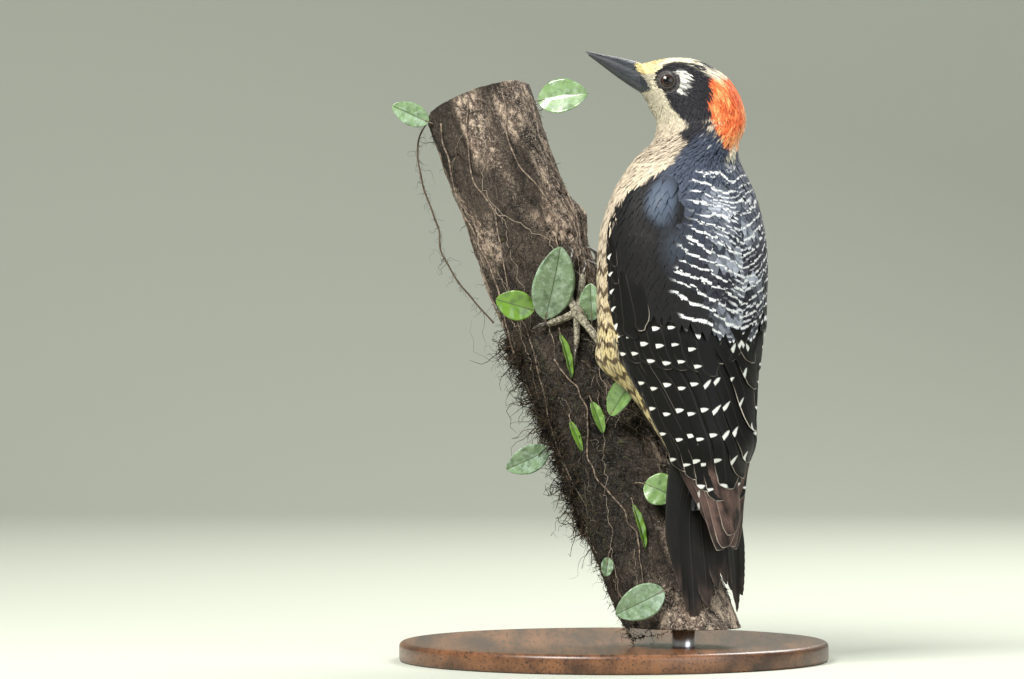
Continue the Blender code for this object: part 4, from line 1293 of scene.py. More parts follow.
def tube_map(rows, sides, copies=1):
    """A plain unwrap of tubes, one strip beside another."""
    across, along = np.meshgrid(np.arange(sides) / sides, np.linspace(0.02, 0.98, rows))
    one = np.vstack([np.stack([across, along], -1).reshape(-1, 2), [0.5, 0.0], [0.5, 1.0]])
    start = np.arange(copies)[:, None, None] * np.array([1.0, 0.0])
    return ((one[None] * [0.96, 1.0] + start) / [copies, 1.0]).reshape(-1, 2)


def bezier(points, count):
    """Along a quadratic curve through the first, near the middle and through the last point."""
    first, middle, last = (np.asarray(p, dtype=float) for p in points)
    t = np.linspace(0.0, 1.0, count)[:, None]
    pull = 2 * middle - 0.5 * (first + last)
    return first * (1 - t) ** 2 + pull * 2 * t * (1 - t) + last * t**2


# %% [markdown]
# ## Bill
# The two halves keep the frame's sections but get a keel along the culmen and the groove that runs
# forward from the nostril.

# %% Upper and lower bill
ROOT = smooth(BODY, 21.0)
LEAN = math.radians(ROOT[3])
BILL_UP = math.cos(LEAN) * HEAD_BACK + math.sin(LEAN) * UP
horn = Finish("horn", Specular_IOR_Level=0.5, Coat_Weight=0.15, Coat_Roughness=0.25)
streak = horn.noise(0.55, 3.0, 0.6, (0.18, 1.0, 1.0))
blotch = horn.noise(2.2, 2.0)
# Painted sheen: paler blue-grey streaks, as strong as the mesh's pale value.
tint = horn.mix(paint(27, 30, 34), paint(64, 72, 79), horn.read("pale") * streak.band(0.3, 0.68))
tint = horn.mix(tint, paint(24, 26, 31), 0.7 * blotch.band(0.5, 0.7))
horn.set("Base Color", tint)
horn.set("Roughness", 0.28 + 0.22 * streak)
horn.bump(streak, 0.10, 0.35)


def bill_half(name, upper, end):
    """Rings of a half bill: flat on the gape, and a back whose height tapers and swells to the tip."""
    t = np.linspace(-0.07, end, 90)[:, None]
    phi = np.linspace(0, math.pi, 33)[None, :]
    rest = 1 - t
    width = 0.32 + 3.18 * np.maximum(rest, 0) ** 0.9
    root, tip = (5.9, 0.45) if upper else (2.4, 0.3)
    depth = tip + (root - tip) * rest + 0.5 * np.sin(np.pi * np.clip(t, 0, 1)) * rest
    rise = 177.1 - ROOT[0] + t * (7.7 + ROOT[0] - 177.1)
    off_top = np.abs(phi - math.pi / 2)
    if upper:
        keel = 0.07 * np.exp(-((off_top / 0.22) ** 2)) * (1 - 0.5 * t)
        groove = np.exp(-((off_top - 0.78) / 0.10) ** 2) * (1 - ease(0.30, 0.62, t))
        nostril = np.exp(-((off_top - 0.86) / 0.10) ** 2 - ((t - 0.075) / 0.035) ** 2)
    else:
        keel = 0.05 * np.exp(-((off_top / 0.3) ** 2))
        groove, nostril = 0 * phi * t, 0 * phi * t
    inset = 1 + keel - 0.055 * groove - 0.10 * nostril
    sign = 1.0 if upper else -1.0
    high = sign * (0.02 + depth * np.sin(phi) ** 0.85 * inset)
    aside = width * np.cos(phi) * (1 - 0.04 * groove)
    centre = AXIS + (ROOT[1] - 0.35 - t * 16.6)[..., None] * HEAD_BACK + ROOT[0] * UP
    ring = centre + rise[..., None] * BILL_UP + aside[..., None] * HEAD_LEFT + high[..., None] * BILL_UP
    inner = width * np.cos(np.pi * np.arange(1, 8) / 8)
    under = centre + rise[..., None] * BILL_UP + inner[..., None] * HEAD_LEFT
    under = under + sign * 0.02 * BILL_UP
    rings = np.concatenate([ring, under], axis=1)
    count = rings.shape[1]
    faces = tube_faces(len(t), count)
    faces = [part[:, ::-1] for part in faces] if upper else faces
    # Painted sheen on the upper side of each half, strongest towards the root; it is stored as the pale
    # value.
    sheen = np.clip(rest * 1.1, 0, 1) * (0.35 + 0.65 * np.exp(-((off_top - 0.35) / 0.4) ** 2))
    sheen = np.concatenate([sheen, np.zeros((len(t), count - 33))], axis=1)
    sheen = np.concatenate([sheen.ravel(), [0, 0]])
    make_piece(name, close_rings(rings), faces, horn.material, [name],
               {"OFBake": tube_map(len(t), count)}, {"pale": sheen})


S, A = np.meshgrid(np.linspace(18.4, 21.9, 70), np.linspace(180, -180, 121)[:-1], indexing="ij")
behind = behind_bill(body(S, A))
root = body(S, A, 0.12 - 1.1 * ease(-0.3, 0.35, behind) - 0.5 * ease(20.9, 21.8, S))
gape = np.abs((root[..., 2] - 174.8) * 0.76 + (root[..., 0] - 10.6) * 0.65)
# Painted sheen on the sides of the bill's bare root, cut by the dark line of the gape between the mandibles.
tone = 0.15 + 0.5 * ease(0, 2.0, np.abs(A)) * np.exp(-((np.abs(A) - 60) / 30) ** 2)
tone = tone * (1 - 0.95 * np.exp(-((gape / 0.28) ** 2)))
make_piece("bill_root", close_rings(root), tube_faces(70, 120), horn.material, ["bill_upper"],
           {"OFBake": tube_map(70, 120)}, {"pale": np.append(tone.ravel(), [0, 0])})
bill_half("bill_upper", True, 1.0)
bill_half("bill_lower", False, 0.95)

# %% Bristles over the nostrils and round the bill's root
dice = np.random.default_rng(12)
count, points = 900, 7
turn = dice.uniform(-180, 180, count)
levels = np.linspace(18.6, 21.6, 80)
edge = behind_bill(body(levels[None, :], turn[:, None]))
place = levels[np.argmax(edge < 0.05, axis=1)] - dice.uniform(-0.1, 0.45, count)
place = np.where(np.all(edge > 0.05, axis=1), 21.4, place)
start = body(place, turn, -0.2)
grow = dice.uniform(0.9, 2.2, count) * (1 - 0.7 * ease(60, 150, np.abs(turn)))
outward = body(place, turn, 1.0) - body(place, turn, 0.0)
ahead = -0.9 * HEAD_BACK + 0.35 * UP + dice.normal(0, 0.12, (count, 3))
t = np.linspace(0, 1, points)[None, :, None]
arch = 0.10 * np.sin(t * math.pi) + 0.02 * t
fall = start[:, None] + grow[:, None, None] * (t * ahead[:, None] + arch * outward[:, None])
rings = close_rings(carry(fall, 0.085 * np.linspace(1, 0.25, points) * np.ones((count, 1)), 3))
shade = np.repeat(plumage(place - 0.5, turn)[0] * dice.uniform(0.75, 1.05, (count, 1)), points * 3 + 2,
                  axis=0)
plain = np.zeros(count * (points * 3 + 2))
make_piece("bristles", rings, tube_faces(points, 3, count), COAT, ["head"],
           {"OFBake": tube_map(points, 3, count), "lie": tube_map(points, 3, count)},
           {key: plain for key in ("bar", "barred", "chevron", "flank", "seed", "seam")}, {"tint": shade})

# %% [markdown]
# ## Eyes
# The ball sits in its socket with about half its height showing; a wrinkled ring of bare skin and the
# lids hold it. The side of the head is sampled so that the ring meets the feathers all round.

# %% Eyeballs and orbital rings
S, A = np.meshgrid(np.linspace(15.5, 20.5, 90), np.linspace(55, 130, 90), indexing="ij")
sample = body(S, A).reshape(-1, 3) - EYE
sample = np.stack([sample @ HEAD_BACK, sample @ UP, sample @ HEAD_LEFT], -1)


def head_side(back, up):
    """How far aside the head's surface is, by weighting the nearest samples with their distance."""
    apart = (back[..., None] - sample[:, 0]) ** 2 + (up[..., None] - sample[:, 1]) ** 2
    weight = 1 / (apart + 0.01) ** 3
    return (weight * sample[:, 2]).sum(-1) / weight.sum(-1)


ball = Finish("eyeball", Roughness=0.25, Coat_Weight=0.7, Coat_Roughness=0.02, Coat_IOR=1.4,
              Specular_IOR_Level=0.1)
reach = ball.read("reach")
fibre = ball.noise(0.35, 3.0)
iris = ball.mix(paint(36, 24, 19), paint(70, 50, 40), fibre.band(0.35, 0.7))
iris = ball.mix(iris, paint(24, 12, 9), reach.band(1.55, 2.05))
colour = ball.mix((0.002, 0.002, 0.002), iris, reach.band(1.18, 1.30))
ball.set("Base Color", colour)
lid = Finish("orbital_ring", Roughness=0.55, Specular_IOR_Level=0.35)
wrinkle = lid.read("fold") + 0.5 * lid.noise(0.35, 3.0)
lid.set("Base Color", lid.mix(paint(28, 26, 27), paint(84, 80, 78), wrinkle.band(0.55, 1.15)))
lid.bump(wrinkle, 0.08, 0.6)
SPOKES, EYE_RADIUS = 96, 3.3
# Height of the lids and the wrinkled ring over the ball, by distance from the eye's middle.
LIP = [(1.98, -0.15), (2.02, 0.10), (2.12, 0.24), (2.3, 0.26), (2.44, 0.10), (2.6, 0.20), (2.8, 0.06),
       (3.0, 0.22), (3.4, 0.1), (4, 0)]
turn = np.arange(SPOKES) * 2 * math.pi / SPOKES
for name, side in SIDES:
    out = side * HEAD_LEFT
    polar = np.linspace(0.02, math.pi - 0.02, 56)[:, None]
    flat = EYE_RADIUS * np.sin(polar)
    high = EYE_ASIDE + EYE_RADIUS * np.cos(polar) - 1.2 * ease(2.45, 3.1, flat)
    high = high + 0.22 * np.exp(-((flat / 1.5) ** 2)) * (np.cos(polar) > 0)
    disc = (flat * np.cos(turn))[..., None] * HEAD_BACK + (flat * np.sin(turn))[..., None] * UP
    rings = EYE + disc + (high + 0 * turn)[..., None] * out
    faces = tube_faces(56, SPOKES)
    faces = faces if side == -1 else [part[:, ::-1] for part in faces]
    spread = np.where(np.cos(polar) > 0, flat, EYE_RADIUS) + 0 * turn
    make_piece("eye_" + name, close_rings(rings), faces, ball.material, ["eye_" + name],
               {"OFBake": tube_map(56, SPOKES)}, {"reach": np.append(spread.ravel(), [0.0, EYE_RADIUS])})

    radius = np.array([1.98, 2.02, 2.10, 2.2, 2.32, 2.44, 2.56, 2.7, 2.84, 2.98, 3.12, 3.28, 3.45, 3.65, 3.9])
    narrow = 1 - 0.05 * np.sin(turn) ** 2 * (radius[:, None] < 2.5)
    r = radius[:, None] * narrow
    back, up = r * np.cos(turn), r * np.sin(turn)
    on_ball = EYE_ASIDE + np.sqrt(np.maximum(EYE_RADIUS**2 - r**2, 0.5))
    lip = line(LIP, radius)[:, None]
    folds = (0.025 * np.sin(turn * 17 + 3 * np.sin(turn * 3)) * (radius[:, None] > 2.4)
             * (radius[:, None] < 3.5))
    outside = head_side(back, up) - 0.35
    blend = ease(2.55, 3.75, r)
    aside = (on_ball + lip) * (1 - blend) + outside * blend + folds
    face = EYE + back[..., None] * HEAD_BACK + up[..., None] * UP + aside[..., None] * out
    ring = np.concatenate([face, face[::-1] - 0.5 * out], axis=0)
    count = len(ring)
    torus = quads(count + 1, SPOKES, True) % (count * SPOKES)
    torus = torus if side == -1 else torus[:, ::-1]
    fold = np.concatenate([lip + folds * 4 + 0.4 + 0 * r, 0.3 + 0 * r]).ravel()
    grid = np.stack(np.meshgrid(np.arange(SPOKES) / SPOKES, np.arange(count) / count), -1)
    make_piece("lids_" + name, ring, [torus], lid.material, ["eye_" + name], {"OFBake": grid},
               {"fold": fold})

# %% [markdown]
# ## Legs and feet
# Two toes point up the branch and two hold it sideways and below. Skin on the top of toes and shank
# is laid in scutes, which a saw wave along the tube gives more simply than separate scales would.

# %% Shanks, toes and claws
scaly = Finish("scaly_skin", Roughness=0.5, Specular_IOR_Level=0.4)
worn = scaly.noise(0.8, 4.0)
step = scaly.read("scute")
cell = scaly.node("ShaderNodeTexVoronoi", {"feature": "DISTANCE_TO_EDGE"},
                  {"Vector": scaly.place(), "Scale": 1.0 / (0.55 * MM)})
tint = scaly.mix(paint(84, 78, 62), paint(172, 166, 144), worn.band(0.36, 0.62))
tint = scaly.mix(tint, paint(52, 46, 36), 0.6 * (1.0 - cell.band(0.02, 0.14)))
tint = scaly.mix(tint, paint(58, 54, 46), 0.8 * (1.0 - step.band(0.0, 0.3)))
scaly.set("Base Color", tint)
scaly.bump(worn + cell.band(0.0, 0.25), 0.12, 0.9)
claw_horn = Finish("claw_horn", Roughness=0.32, Specular_IOR_Level=0.5)
claw_horn.set("Base Color", claw_horn.mix(paint(46, 42, 38), paint(120, 112, 98),
                                          claw_horn.noise(0.9, 3.0).band(0.45, 0.75)))
HEEL = (-21.5, 10.5, 95.5)
TOES = {
    "1": ([(37.5, 95.6), (41.0, 92.9), (44.0, 91.0)], 1.0),
    "2": ([(25.5, 102.6), (18.0, 106.5), (11.0, 110.2)], 1.15),
    "3": ([(34.5, 103.6), (27.0, 109.0), (19.5, 114.2)], 1.25),
    "4": ([(42.5, 99.4), (52.0, 99.3), (62.0, 99.6)], 1.2),
}
# Thickness along the shank, and along a toe as a share of its own.
SHANK = [(0, 1.5), (0.16, 1.25), (0.4, 1.12), (0.65, 1.15), (0.85, 1.6), (0.95, 2.05), (1.03, 2.1),
         (1.07, 1.4)]
PADS = [(0, 0.92), (0.13, 0.92), (0.3, 0.84), (0.42, 0.93), (0.56, 0.80), (0.72, 0.86), (0.9, 0.72),
        (1, 0.58)]


def off_bark(angle, height):
    """Unit vectors square to the branch."""
    return perch_point(angle, height, 5.0) - perch_point(angle, height, 4.0)


def scaled_tube(name, path, radii, scutes, start, replaces):
    """A limb whose upper side carries overlapping plates: each rises slowly and ends in a step."""
    sides = 28
    rings = carry(path, np.asarray(radii), sides, start=start)
    middle = np.asarray(path)[:, None, :]
    turn = np.arange(sides) * 2 * math.pi / sides
    count = np.linspace(0, scutes, len(path))[:, None] + 0.12 * np.cos(turn)
    saw = count % 1.0
    upper = ease(-0.2, 0.7, np.cos(turn))
    below = 0.5 + 0.5 * np.sin(count * 9 + 5 * turn) * np.sin(turn * 7)
    bump = 0.11 * upper * saw + 0.07 * (1 - upper) * below
    rings = middle + (rings - middle) * (1 + bump / np.asarray(radii)[:, None])[..., None]
    step = np.concatenate([(saw * upper + (1 - upper) * (0.25 + 0.5 * below)).ravel(), [0.5, 0.5]])
    make_piece(name, close_rings(rings), tube_faces(len(path), sides), scaly.material, replaces,
               {"OFBake": tube_map(len(path), sides)}, {"scute": step})


for name, side in SIDES:
    heel = AXIS + HEEL[0] * BACK + side * HEEL[1] * LEFT + HEEL[2] * UP
    foot = perch_point(side * 33.0, 99.7, 2.65)
    outward = perch_frame(99.7)[1]
    t = np.linspace(0.0, 1.07, 90)[:, None]
    shank = heel + (foot - heel) * t
    thick = line(SHANK, t[:, 0])
    scaled_tube("tarsus_" + name, shank, thick * 0.94, 17, UP, ["tarsus_" + name])
    for toe, (route, radius) in TOES.items():
        along = np.linspace(-0.10, 1.0, 80)
        spots = np.array([np.interp(along, np.linspace(0, 1, 40), bezier(route, 40)[:, k]) for k in (0, 1)]).T
        spots += np.minimum(along, 0)[:, None] * (np.array(route[1]) - np.array(route[0])) * 2
        lift = radius + 0.2 + 0.35 * np.sin(math.pi * np.clip(along, 0, 1)) + 6 * np.maximum(-along, 0)
        path = perch_point(side * spots[:, 0], spots[:, 1], lift)
        normal = off_bark(side * spots[0, 0], spots[0, 1])
        lead = foot + (path[10] - foot) * np.linspace(0.1, 1, 16, endpoint=False)[:, None]
        whole = np.concatenate([lead, path[10:]])
        thick = radius * np.concatenate([np.full(16, 0.95), line(PADS, along)[10:]])
        scaled_tube("toe%s_%s" % (toe, name), whole, thick, 19 if toe != "1" else 13, normal,
                    ["toe%s_%s" % (toe, name)])
        ahead = spots[-1] - spots[-4]
        ahead /= math.hypot(math.radians(ahead[0]) * PERCH_RADIUS, ahead[1])
        c = np.linspace(-0.12, 1.0, 40)
        spots = spots[-1] + np.outer(0.5 + 5.2 * c, ahead)
        rise = (radius + 0.35) * (1 - c) + 0.45 * c + 1.35 * np.sin(math.pi * np.clip(c, 0, 1) ** 0.8)
        path = perch_point(side * spots[:, 0], spots[:, 1], rise)
        girth = radius * 0.74 * (1 - (0.93 * np.clip(c, 0, 1)) ** 1.25)
        rings = carry(path, girth, 18, 0.72, perch_frame(float(spots[0, 1]))[1])
        make_piece("claw%s_%s" % (toe, name), close_rings(rings), tube_faces(40, 18), claw_horn.material,
                   ["claw%s_%s" % (toe, name)], {"OFBake": tube_map(40, 18)})

# %% [markdown]
# ## Branch
# The bark is one grid round the branch, pushed in and out by layered noise: plates, cracks between
# them and pits. A displacement texture would need a subdivided mesh anyway, so the grid is made fine
# enough at once and the shader only adds grain.

# %% Bark
LINES, LEVELS = 226, 430
degrees = np.arange(LINES) * 360.0 / LINES


def bark_start(relief):
    """Height along the branch at which each line of bark meets the level saw cut at its foot."""
    height = np.full(LINES, SAWN_LOW)
    for _ in range(12):
        height += SAWN_LOW - perch_point(degrees, height, relief(height, degrees)[0])[..., 2]
    return height


def bark_relief(height, degree):
    """Height of the bark over the plain branch: slow swells, the knot, and plates parted by cracks."""
    turn = np.radians(degree)
    swell = -0.45 + 0.25 * np.sin(3 * turn + height * 0.05) + 0.2 * np.sin(2 * turn - height * 0.09)
    aside = (degree + 43.0 + 180.0) % 360.0 - 180.0
    knot = np.exp(-(aside / 17.0) ** 2 - ((height - 130.0) / 5.5) ** 2)
    place = np.stack([PERCH_RADIUS * np.cos(turn), PERCH_RADIUS * np.sin(turn), height * 0.42], -1)
    plates = fractal(place, 5.0, 4, 40)
    cracks = 1 - ease(0.0, 0.20, np.abs(noise(place, 4.2, 51) + 0.35 * noise(place, 1.8, 52)))
    pits = ease(0.35, 0.8, noise(place * [1, 1, 2], 1.5, 61))
    rough = 0.36 * plates - 0.65 * cracks - 0.35 * pits + 0.14 * noise(place * [1, 1, 2.2], 0.8, 71)
    bare = ease(0.15, 0.5, noise(place, 9.0, 81) + 0.2)
    return swell + (3.0 + 0.8 * plates) * knot + rough * (0.75 + 0.4 * bare), plates, cracks, place


start = bark_start(bark_relief)
H = start + (SAWN_HIGH - start) * np.linspace(0, 1, LEVELS)[:, None]
D = np.broadcast_to(degrees, H.shape)
relief, plates, cracks, place = bark_relief(H, D)
points = perch_point(D, H, relief)
# The pale crust patches are the bark's own, but they gather towards the top and the right side of the branch
# as painted light; they also gather near the sawn foot.
high_and_low = 0.75 * ease(100, 140, H) + 0.75 * ease(34, 16, H)
crust = ease(-0.15, 0.35, noise(place, 7.5, 90) + high_and_low + 0.6 * np.cos(np.radians(D + 50)) - 0.45)
middle = 1.1 * ease(106, 80, H) * ease(24, 50, H) * (0.75 + 0.25 * np.cos(np.radians(D - 150)))
moss = ease(0.0, 0.5, noise(place, 8.0, 95) + middle - 0.15)
streaks = noise(place * [1, 1, 0.35], 1.1, 98)
flake = ease(0.0, 0.4, noise(place * [1, 1, 1.5], 1.5, 101) + 0.5 * noise(place * [1, 1, 1.5], 0.7, 103))
base = paint(62, 54, 46) * (1 + 0.30 * noise(place, 3.0, 97) + 0.25 * streaks)[..., None]
layers = [(paint(128, 108, 94), 0.75 * (0.35 + 0.65 * ease(0, 0.6, noise(place, 5.0, 99))) * crust),
          (paint(196, 176, 154), 0.7 * crust * flake),
          (paint(30, 26, 22), 0.8 * cracks),
          (paint(20, 18, 15), 0.92 * moss * (1 - 0.35 * flake))]
for colour, share in layers:
    base = base + (colour - base) * share[..., None]
base = np.clip(base, 0.004, 1)
bark = Finish("bark", Roughness=0.88, Specular_IOR_Level=0.2)
grain = bark.noise(0.45, 6.0, 0.7, (1.0, 1.0, 0.45))
fleck = bark.noise(0.9, 6.0, 0.75)
tint = bark.mix(bark.read("tint", "Color"), (0.012, 0.010, 0.008), 0.85 * (1 - grain.band(0.40, 0.55)))
# Pale flecks and chips, more of them where the crust and its painted light lie.
tint = bark.mix(tint, paint(204, 186, 166), fleck.band(0.52, 0.66) * (0.07 + 0.5 * bark.read("crust")))
chip = bark.noise(0.4, 3.0, 0.7)
tint = bark.mix(tint, paint(216, 200, 184), chip.band(0.57, 0.66) * (0.14 + 0.5 * bark.read("crust")))
bark.set("Base Color", tint)
bark.bump(grain + fleck, 0.45, 0.9)
rows, columns = H.shape
ends = [points[0].mean(0), points[-1].mean(0)]
tint_all = np.vstack([base.reshape(-1, 3), paint(170, 140, 100), paint(170, 140, 100)])
make_piece("perch", np.vstack([points.reshape(-1, 3), ends]), tube_faces(rows, columns), bark.material,
           ["perch"], {"OFBake": tube_map(rows, columns)},
           {"crust": np.append(crust.ravel(), [0, 0])}, {"tint": tint_all})

# %% [markdown]
# The sawn ends show pale wood with rings.

# %% Sawn ends
wood = Finish("sawn_wood", Roughness=0.7)
ring_number = wood.read("ring") + 0.10 * wood.noise(4.0, 3.0)
beat = (ring_number * 11.0).from_whole()
wood.set("Base Color", wood.mix(paint(196, 162, 116), paint(146, 108, 70), beat.band(0.2, 0.5)))


def turned_to(points, faces, normal):
    """The faces of a flat piece, turned over if they don't look along the normal."""
    first, second, last = points[faces[0, 0]], points[faces[0, 1]], points[faces[0, -1]]
    return faces if np.cross(second - first, last - first) @ normal > 0 else faces[:, ::-1]


across_top = np.cross(LEFT, perch_frame(SAWN_HIGH)[1])
for name, row, way, lift in (("sawn_foot", 0, -UP, 0.05),
                             ("sawn_top", -1, across_top * np.sign(across_top[2]), 0.06)):
    rim = points[row]
    centre = rim.mean(0)
    share = np.linspace(0, 1, 24)[1:, None, None]
    disc = centre + (rim - centre)[None] * share * 0.985 + way * lift
    flat = np.vstack([disc.reshape(-1, 3), centre + way * 0.05])
    j = np.arange(columns)
    fan = np.stack([np.full(columns, len(flat) - 1), j, (j + 1) % columns], -1)
    faces = [turned_to(flat, part, way) for part in (quads(23, columns, True), fan)]
    turn = np.radians(degrees)
    circle = np.vstack([(0.5 + 0.48 * share * np.stack([np.cos(turn), np.sin(turn)], -1)).reshape(-1, 2),
                        [0.5, 0.5]])
    number = np.append((share[..., 0] + 0 * j[None, :]).ravel(), 0.0)
    make_piece(name, flat, faces, wood.material, ["perch"], {"OFBake": circle}, {"ring": number})

# %% [markdown]
# ## Moss, rootlets, creeping stems and leaves
# Rootlets are curled tubes a few tenths of a millimetre thick; they are grown by adding random turns
# to a heading, all at once for the whole crowd. Leaves are folded ellipses with veins in the shader.

# %% Rootlets and moss


def on_bark(angle, height):
    """Places just under the bark and the directions away from it."""
    start = perch_point(angle, height, bark_relief(height, angle % 360)[0] - 0.2)
    return start, off_bark(angle, height)


def strands(name, place, length, radius, finish, seed, wander, points=9, droop=0.25, outward=0.8):
    """Curled thin tubes that start at the given places and head away from them."""
    dice = np.random.default_rng(seed)
    start, away = place
    count = len(start)
    heading = away * outward + dice.normal(0, 0.6, (count, 3))
    path = [start]
    step = (length / (points - 1))[:, None]
    for _ in range(points - 1):
        heading = heading + dice.normal(0, wander, (count, 3)) - droop * UP
        heading /= np.linalg.norm(heading, axis=1, keepdims=True)
        path.append(path[-1] + heading * step)
    path = np.stack(path, 1)
    thin = radius[:, None] * np.linspace(1, 0.25, points)
    rings = close_rings(carry(path, thin, 3))
    shade = np.repeat(dice.random(count), points * 3 + 2)
    make_piece(name, rings, tube_faces(points, 3, count), finish.material, ["perch"],
               {"OFBake": tube_map(points, 3, count)}, {"shade": shade})


fibre = Finish("rootlet", Roughness=0.85, Specular_IOR_Level=0.15)
fibre.set("Base Color", fibre.mix(paint(14, 12, 10), paint(78, 66, 52), fibre.read("shade").band(0.25, 1.0)))
mossy = Finish("moss", Roughness=0.9, Specular_IOR_Level=0.1, Sheen_Weight=0.2)
mossy.set("Base Color", mossy.mix(paint(18, 18, 12), paint(70, 72, 36), mossy.read("shade").band(0.45, 1.0)))
dice = np.random.default_rng(5)


def scatter(count, middle_angle, angle_spread, middle_height, height_spread):
    angle = dice.normal(middle_angle, angle_spread, count)
    height = np.clip(dice.normal(middle_height, height_spread, count), 16, 165)
    return angle, height


groups = [scatter(400, 128, 34, 72, 22), scatter(200, 60, 40, 84, 18), scatter(160, 0, 180, 90, 50)]
groups += [scatter(42, dice.normal(138, 24), 3.0, dice.uniform(48, 106), 1.3) for _ in range(60)]
angle, height = (np.concatenate(part) for part in zip(*groups))
count = len(angle)
order = np.arange(count)
longer = np.where(order > 2000, 1.9, np.where(order > 760, 1.2, 1.0))
length = dice.gamma(3.0, 1.3, count) * longer + 1.0
radius = dice.uniform(0.06, 0.14, count) * np.where(order > 760, 1.6, 1.0)
strands("rootlets", on_bark(angle, height), length, radius, fibre, 8, 1.1)
mat_dice = np.random.default_rng(77)
mat = mat_dice.normal(85, 45, 2200), np.clip(mat_dice.normal(68, 22, 2200), 16, 120)
length = mat_dice.gamma(3.0, 1.4, 2200) + 1.5
strands("root_mat", on_bark(*mat), length, mat_dice.uniform(0.06, 0.15, 2200), fibre, 12, 0.8, droop=0.35,
        outward=0.35)
groups = [scatter(2000, 120, 50, 70, 24), scatter(1300, 40, 60, 78, 24), scatter(900, 0, 180, 80, 60)]
angle, height = (np.concatenate(part) for part in zip(*groups))
count = len(angle)
length = dice.gamma(3.0, 0.45, count) + 0.5
strands("moss", on_bark(angle, height), length, dice.uniform(0.10, 0.22, count), mossy, 9, 0.7, points=5,
        droop=0.05)

# %% Fine runners that hug the bark
count, points = 300, 26
angle = dice.uniform(0, 360, count)[:, None]
angle = angle + np.cumsum(dice.normal(0, 1.0, (count, 1)) + dice.normal(0, 2.6, (count, points)), axis=1)
reach = dice.uniform(8, 34, count)[:, None] * np.linspace(0, 1, points)
height = dice.uniform(20, 168, count)[:, None] - reach
height = np.clip(height + np.cumsum(dice.normal(0, 0.25, (count, points)), axis=1), 14, 169)
over = bark_relief(height, angle % 360)[0]
over = (over + np.roll(over, 1, 1) + np.roll(over, -1, 1)) / 3 + 0.22
path = perch_point(angle, height, over)
rings = close_rings(carry(path, dice.uniform(0.05, 0.12, count)[:, None] * np.ones(points), 4))
runner = Finish("runner", Roughness=0.8)
runner.set("Base Color", runner.mix(paint(44, 36, 30), paint(150, 136, 118),
                                    runner.read("shade").band(0.45, 1.0)))
make_piece("fine_runners", rings, tube_faces(points, 4, count), runner.material, ["perch"],
           {"OFBake": tube_map(points, 4, count)}, {"shade": np.repeat(dice.random(count), points * 4 + 2)})

# %% A root that hangs clear of the bark on the left
route = [(0, -56.5, 168.0), (1, -60.5, 158.0), (2, -59.8, 149.5), (3, -57.0, 141.0), (4, -54.3, 132.7),
         (5, -52.4, 124.0), (6, -48.5, 117.0), (7, -43.0, 110.5), (8, -37.0, 103.5)]
fine = smooth(np.array(route), np.linspace(0, 8, 120))
middle = (AXIS + perch_centre(fine[:, 1])[:, None] * BACK)[:, 1]
hang = np.stack([fine[:, 0], middle, fine[:, 1]], -1)
hang += 0.5 * np.stack([noise(hang, 6.0, 3), noise(hang, 5.0, 4), 0 * middle], -1)
rings = close_rings(carry(hang, 0.28 + 0.05 * noise(hang, 1.5, 5), 7))
make_piece("hanging_root", rings, tube_faces(120, 7), fibre.material, ["perch"],
           {"OFBake": tube_map(120, 7)}, {"shade": np.full(len(rings), 0.9)})
pick = dice.integers(4, 116, 90)
away = dice.normal(0, 1, (90, 3))
strands("root_hairs", (hang[pick], away), dice.gamma(2.0, 1.8, 90) + 0.8, np.full(90, 0.07), fibre, 10, 0.8)

# %% Creeping stems
STEMS = [
    ([(60, 168), (84, 150), (76, 132), (95, 112), (88, 96), (110, 70), (100, 50)], 0.23),
    ([(20, 168), (34, 150), (16, 130), (30, 116), (55, 104), (66, 92)], 0.25),
    ([(100, 166), (118, 140), (108, 120), (126, 100), (136, 84)], 0.29),
    ([(-20, 166), (-6, 150), (-24, 138), (-10, 120), (6, 104), (-4, 86)], 0.22),
    ([(150, 168), (160, 140), (140, 116), (156, 90), (170, 60)], 0.36),
    ([(-60, 160), (-84, 130), (-70, 100), (-96, 70), (-80, 40)], 0.29),
    ([(70, 90), (58, 74), (76, 58), (60, 40), (72, 22)], 0.25),
    ([(118, 160), (140, 150), (128, 138), (150, 128), (134, 112)], 0.18),
]
pieces = []
for route, radius in STEMS:
    t = np.linspace(0, 1, len(route))
    table = np.column_stack([t, np.array(route, float)])
    fine = smooth(table, np.linspace(0, 1, 220))
    wiggle = np.stack([np.linspace(0, 40, 220), fine[:, 0] * 0.1, fine[:, 1] * 0.1], -1)
    fine[:, 0] += 3.0 * noise(wiggle, 2.0, int(radius * 100))
    lift = bark_relief(fine[:, 1], fine[:, 0] % 360)[0]
    lift = np.convolve(np.pad(lift, 8, mode="edge"), np.ones(17) / 17, "valid") + radius * 0.9 + 0.35
    path = perch_point(fine[:, 0], fine[:, 1], lift)
    girth = (radius * (1 + 0.18 * noise(wiggle, 0.7, 3))
             * np.concatenate([np.ones(190), np.linspace(1, 0.3, 30)]))
    pieces.append(close_rings(carry(path, girth, 8)))
stem = Finish("stem", Roughness=0.75)
stem.set("Base Color", stem.mix(paint(62, 50, 40), paint(138, 122, 104),
                                stem.noise(1.2, 4.0).band(0.35, 0.7)))
stem.bump(stem.noise(0.4), 0.15, 0.6)
make_piece("creeping_stems", np.stack(pieces), tube_faces(220, 8, len(STEMS)), stem.material,
           ["perch"], {"OFBake": tube_map(220, 8, len(STEMS))})

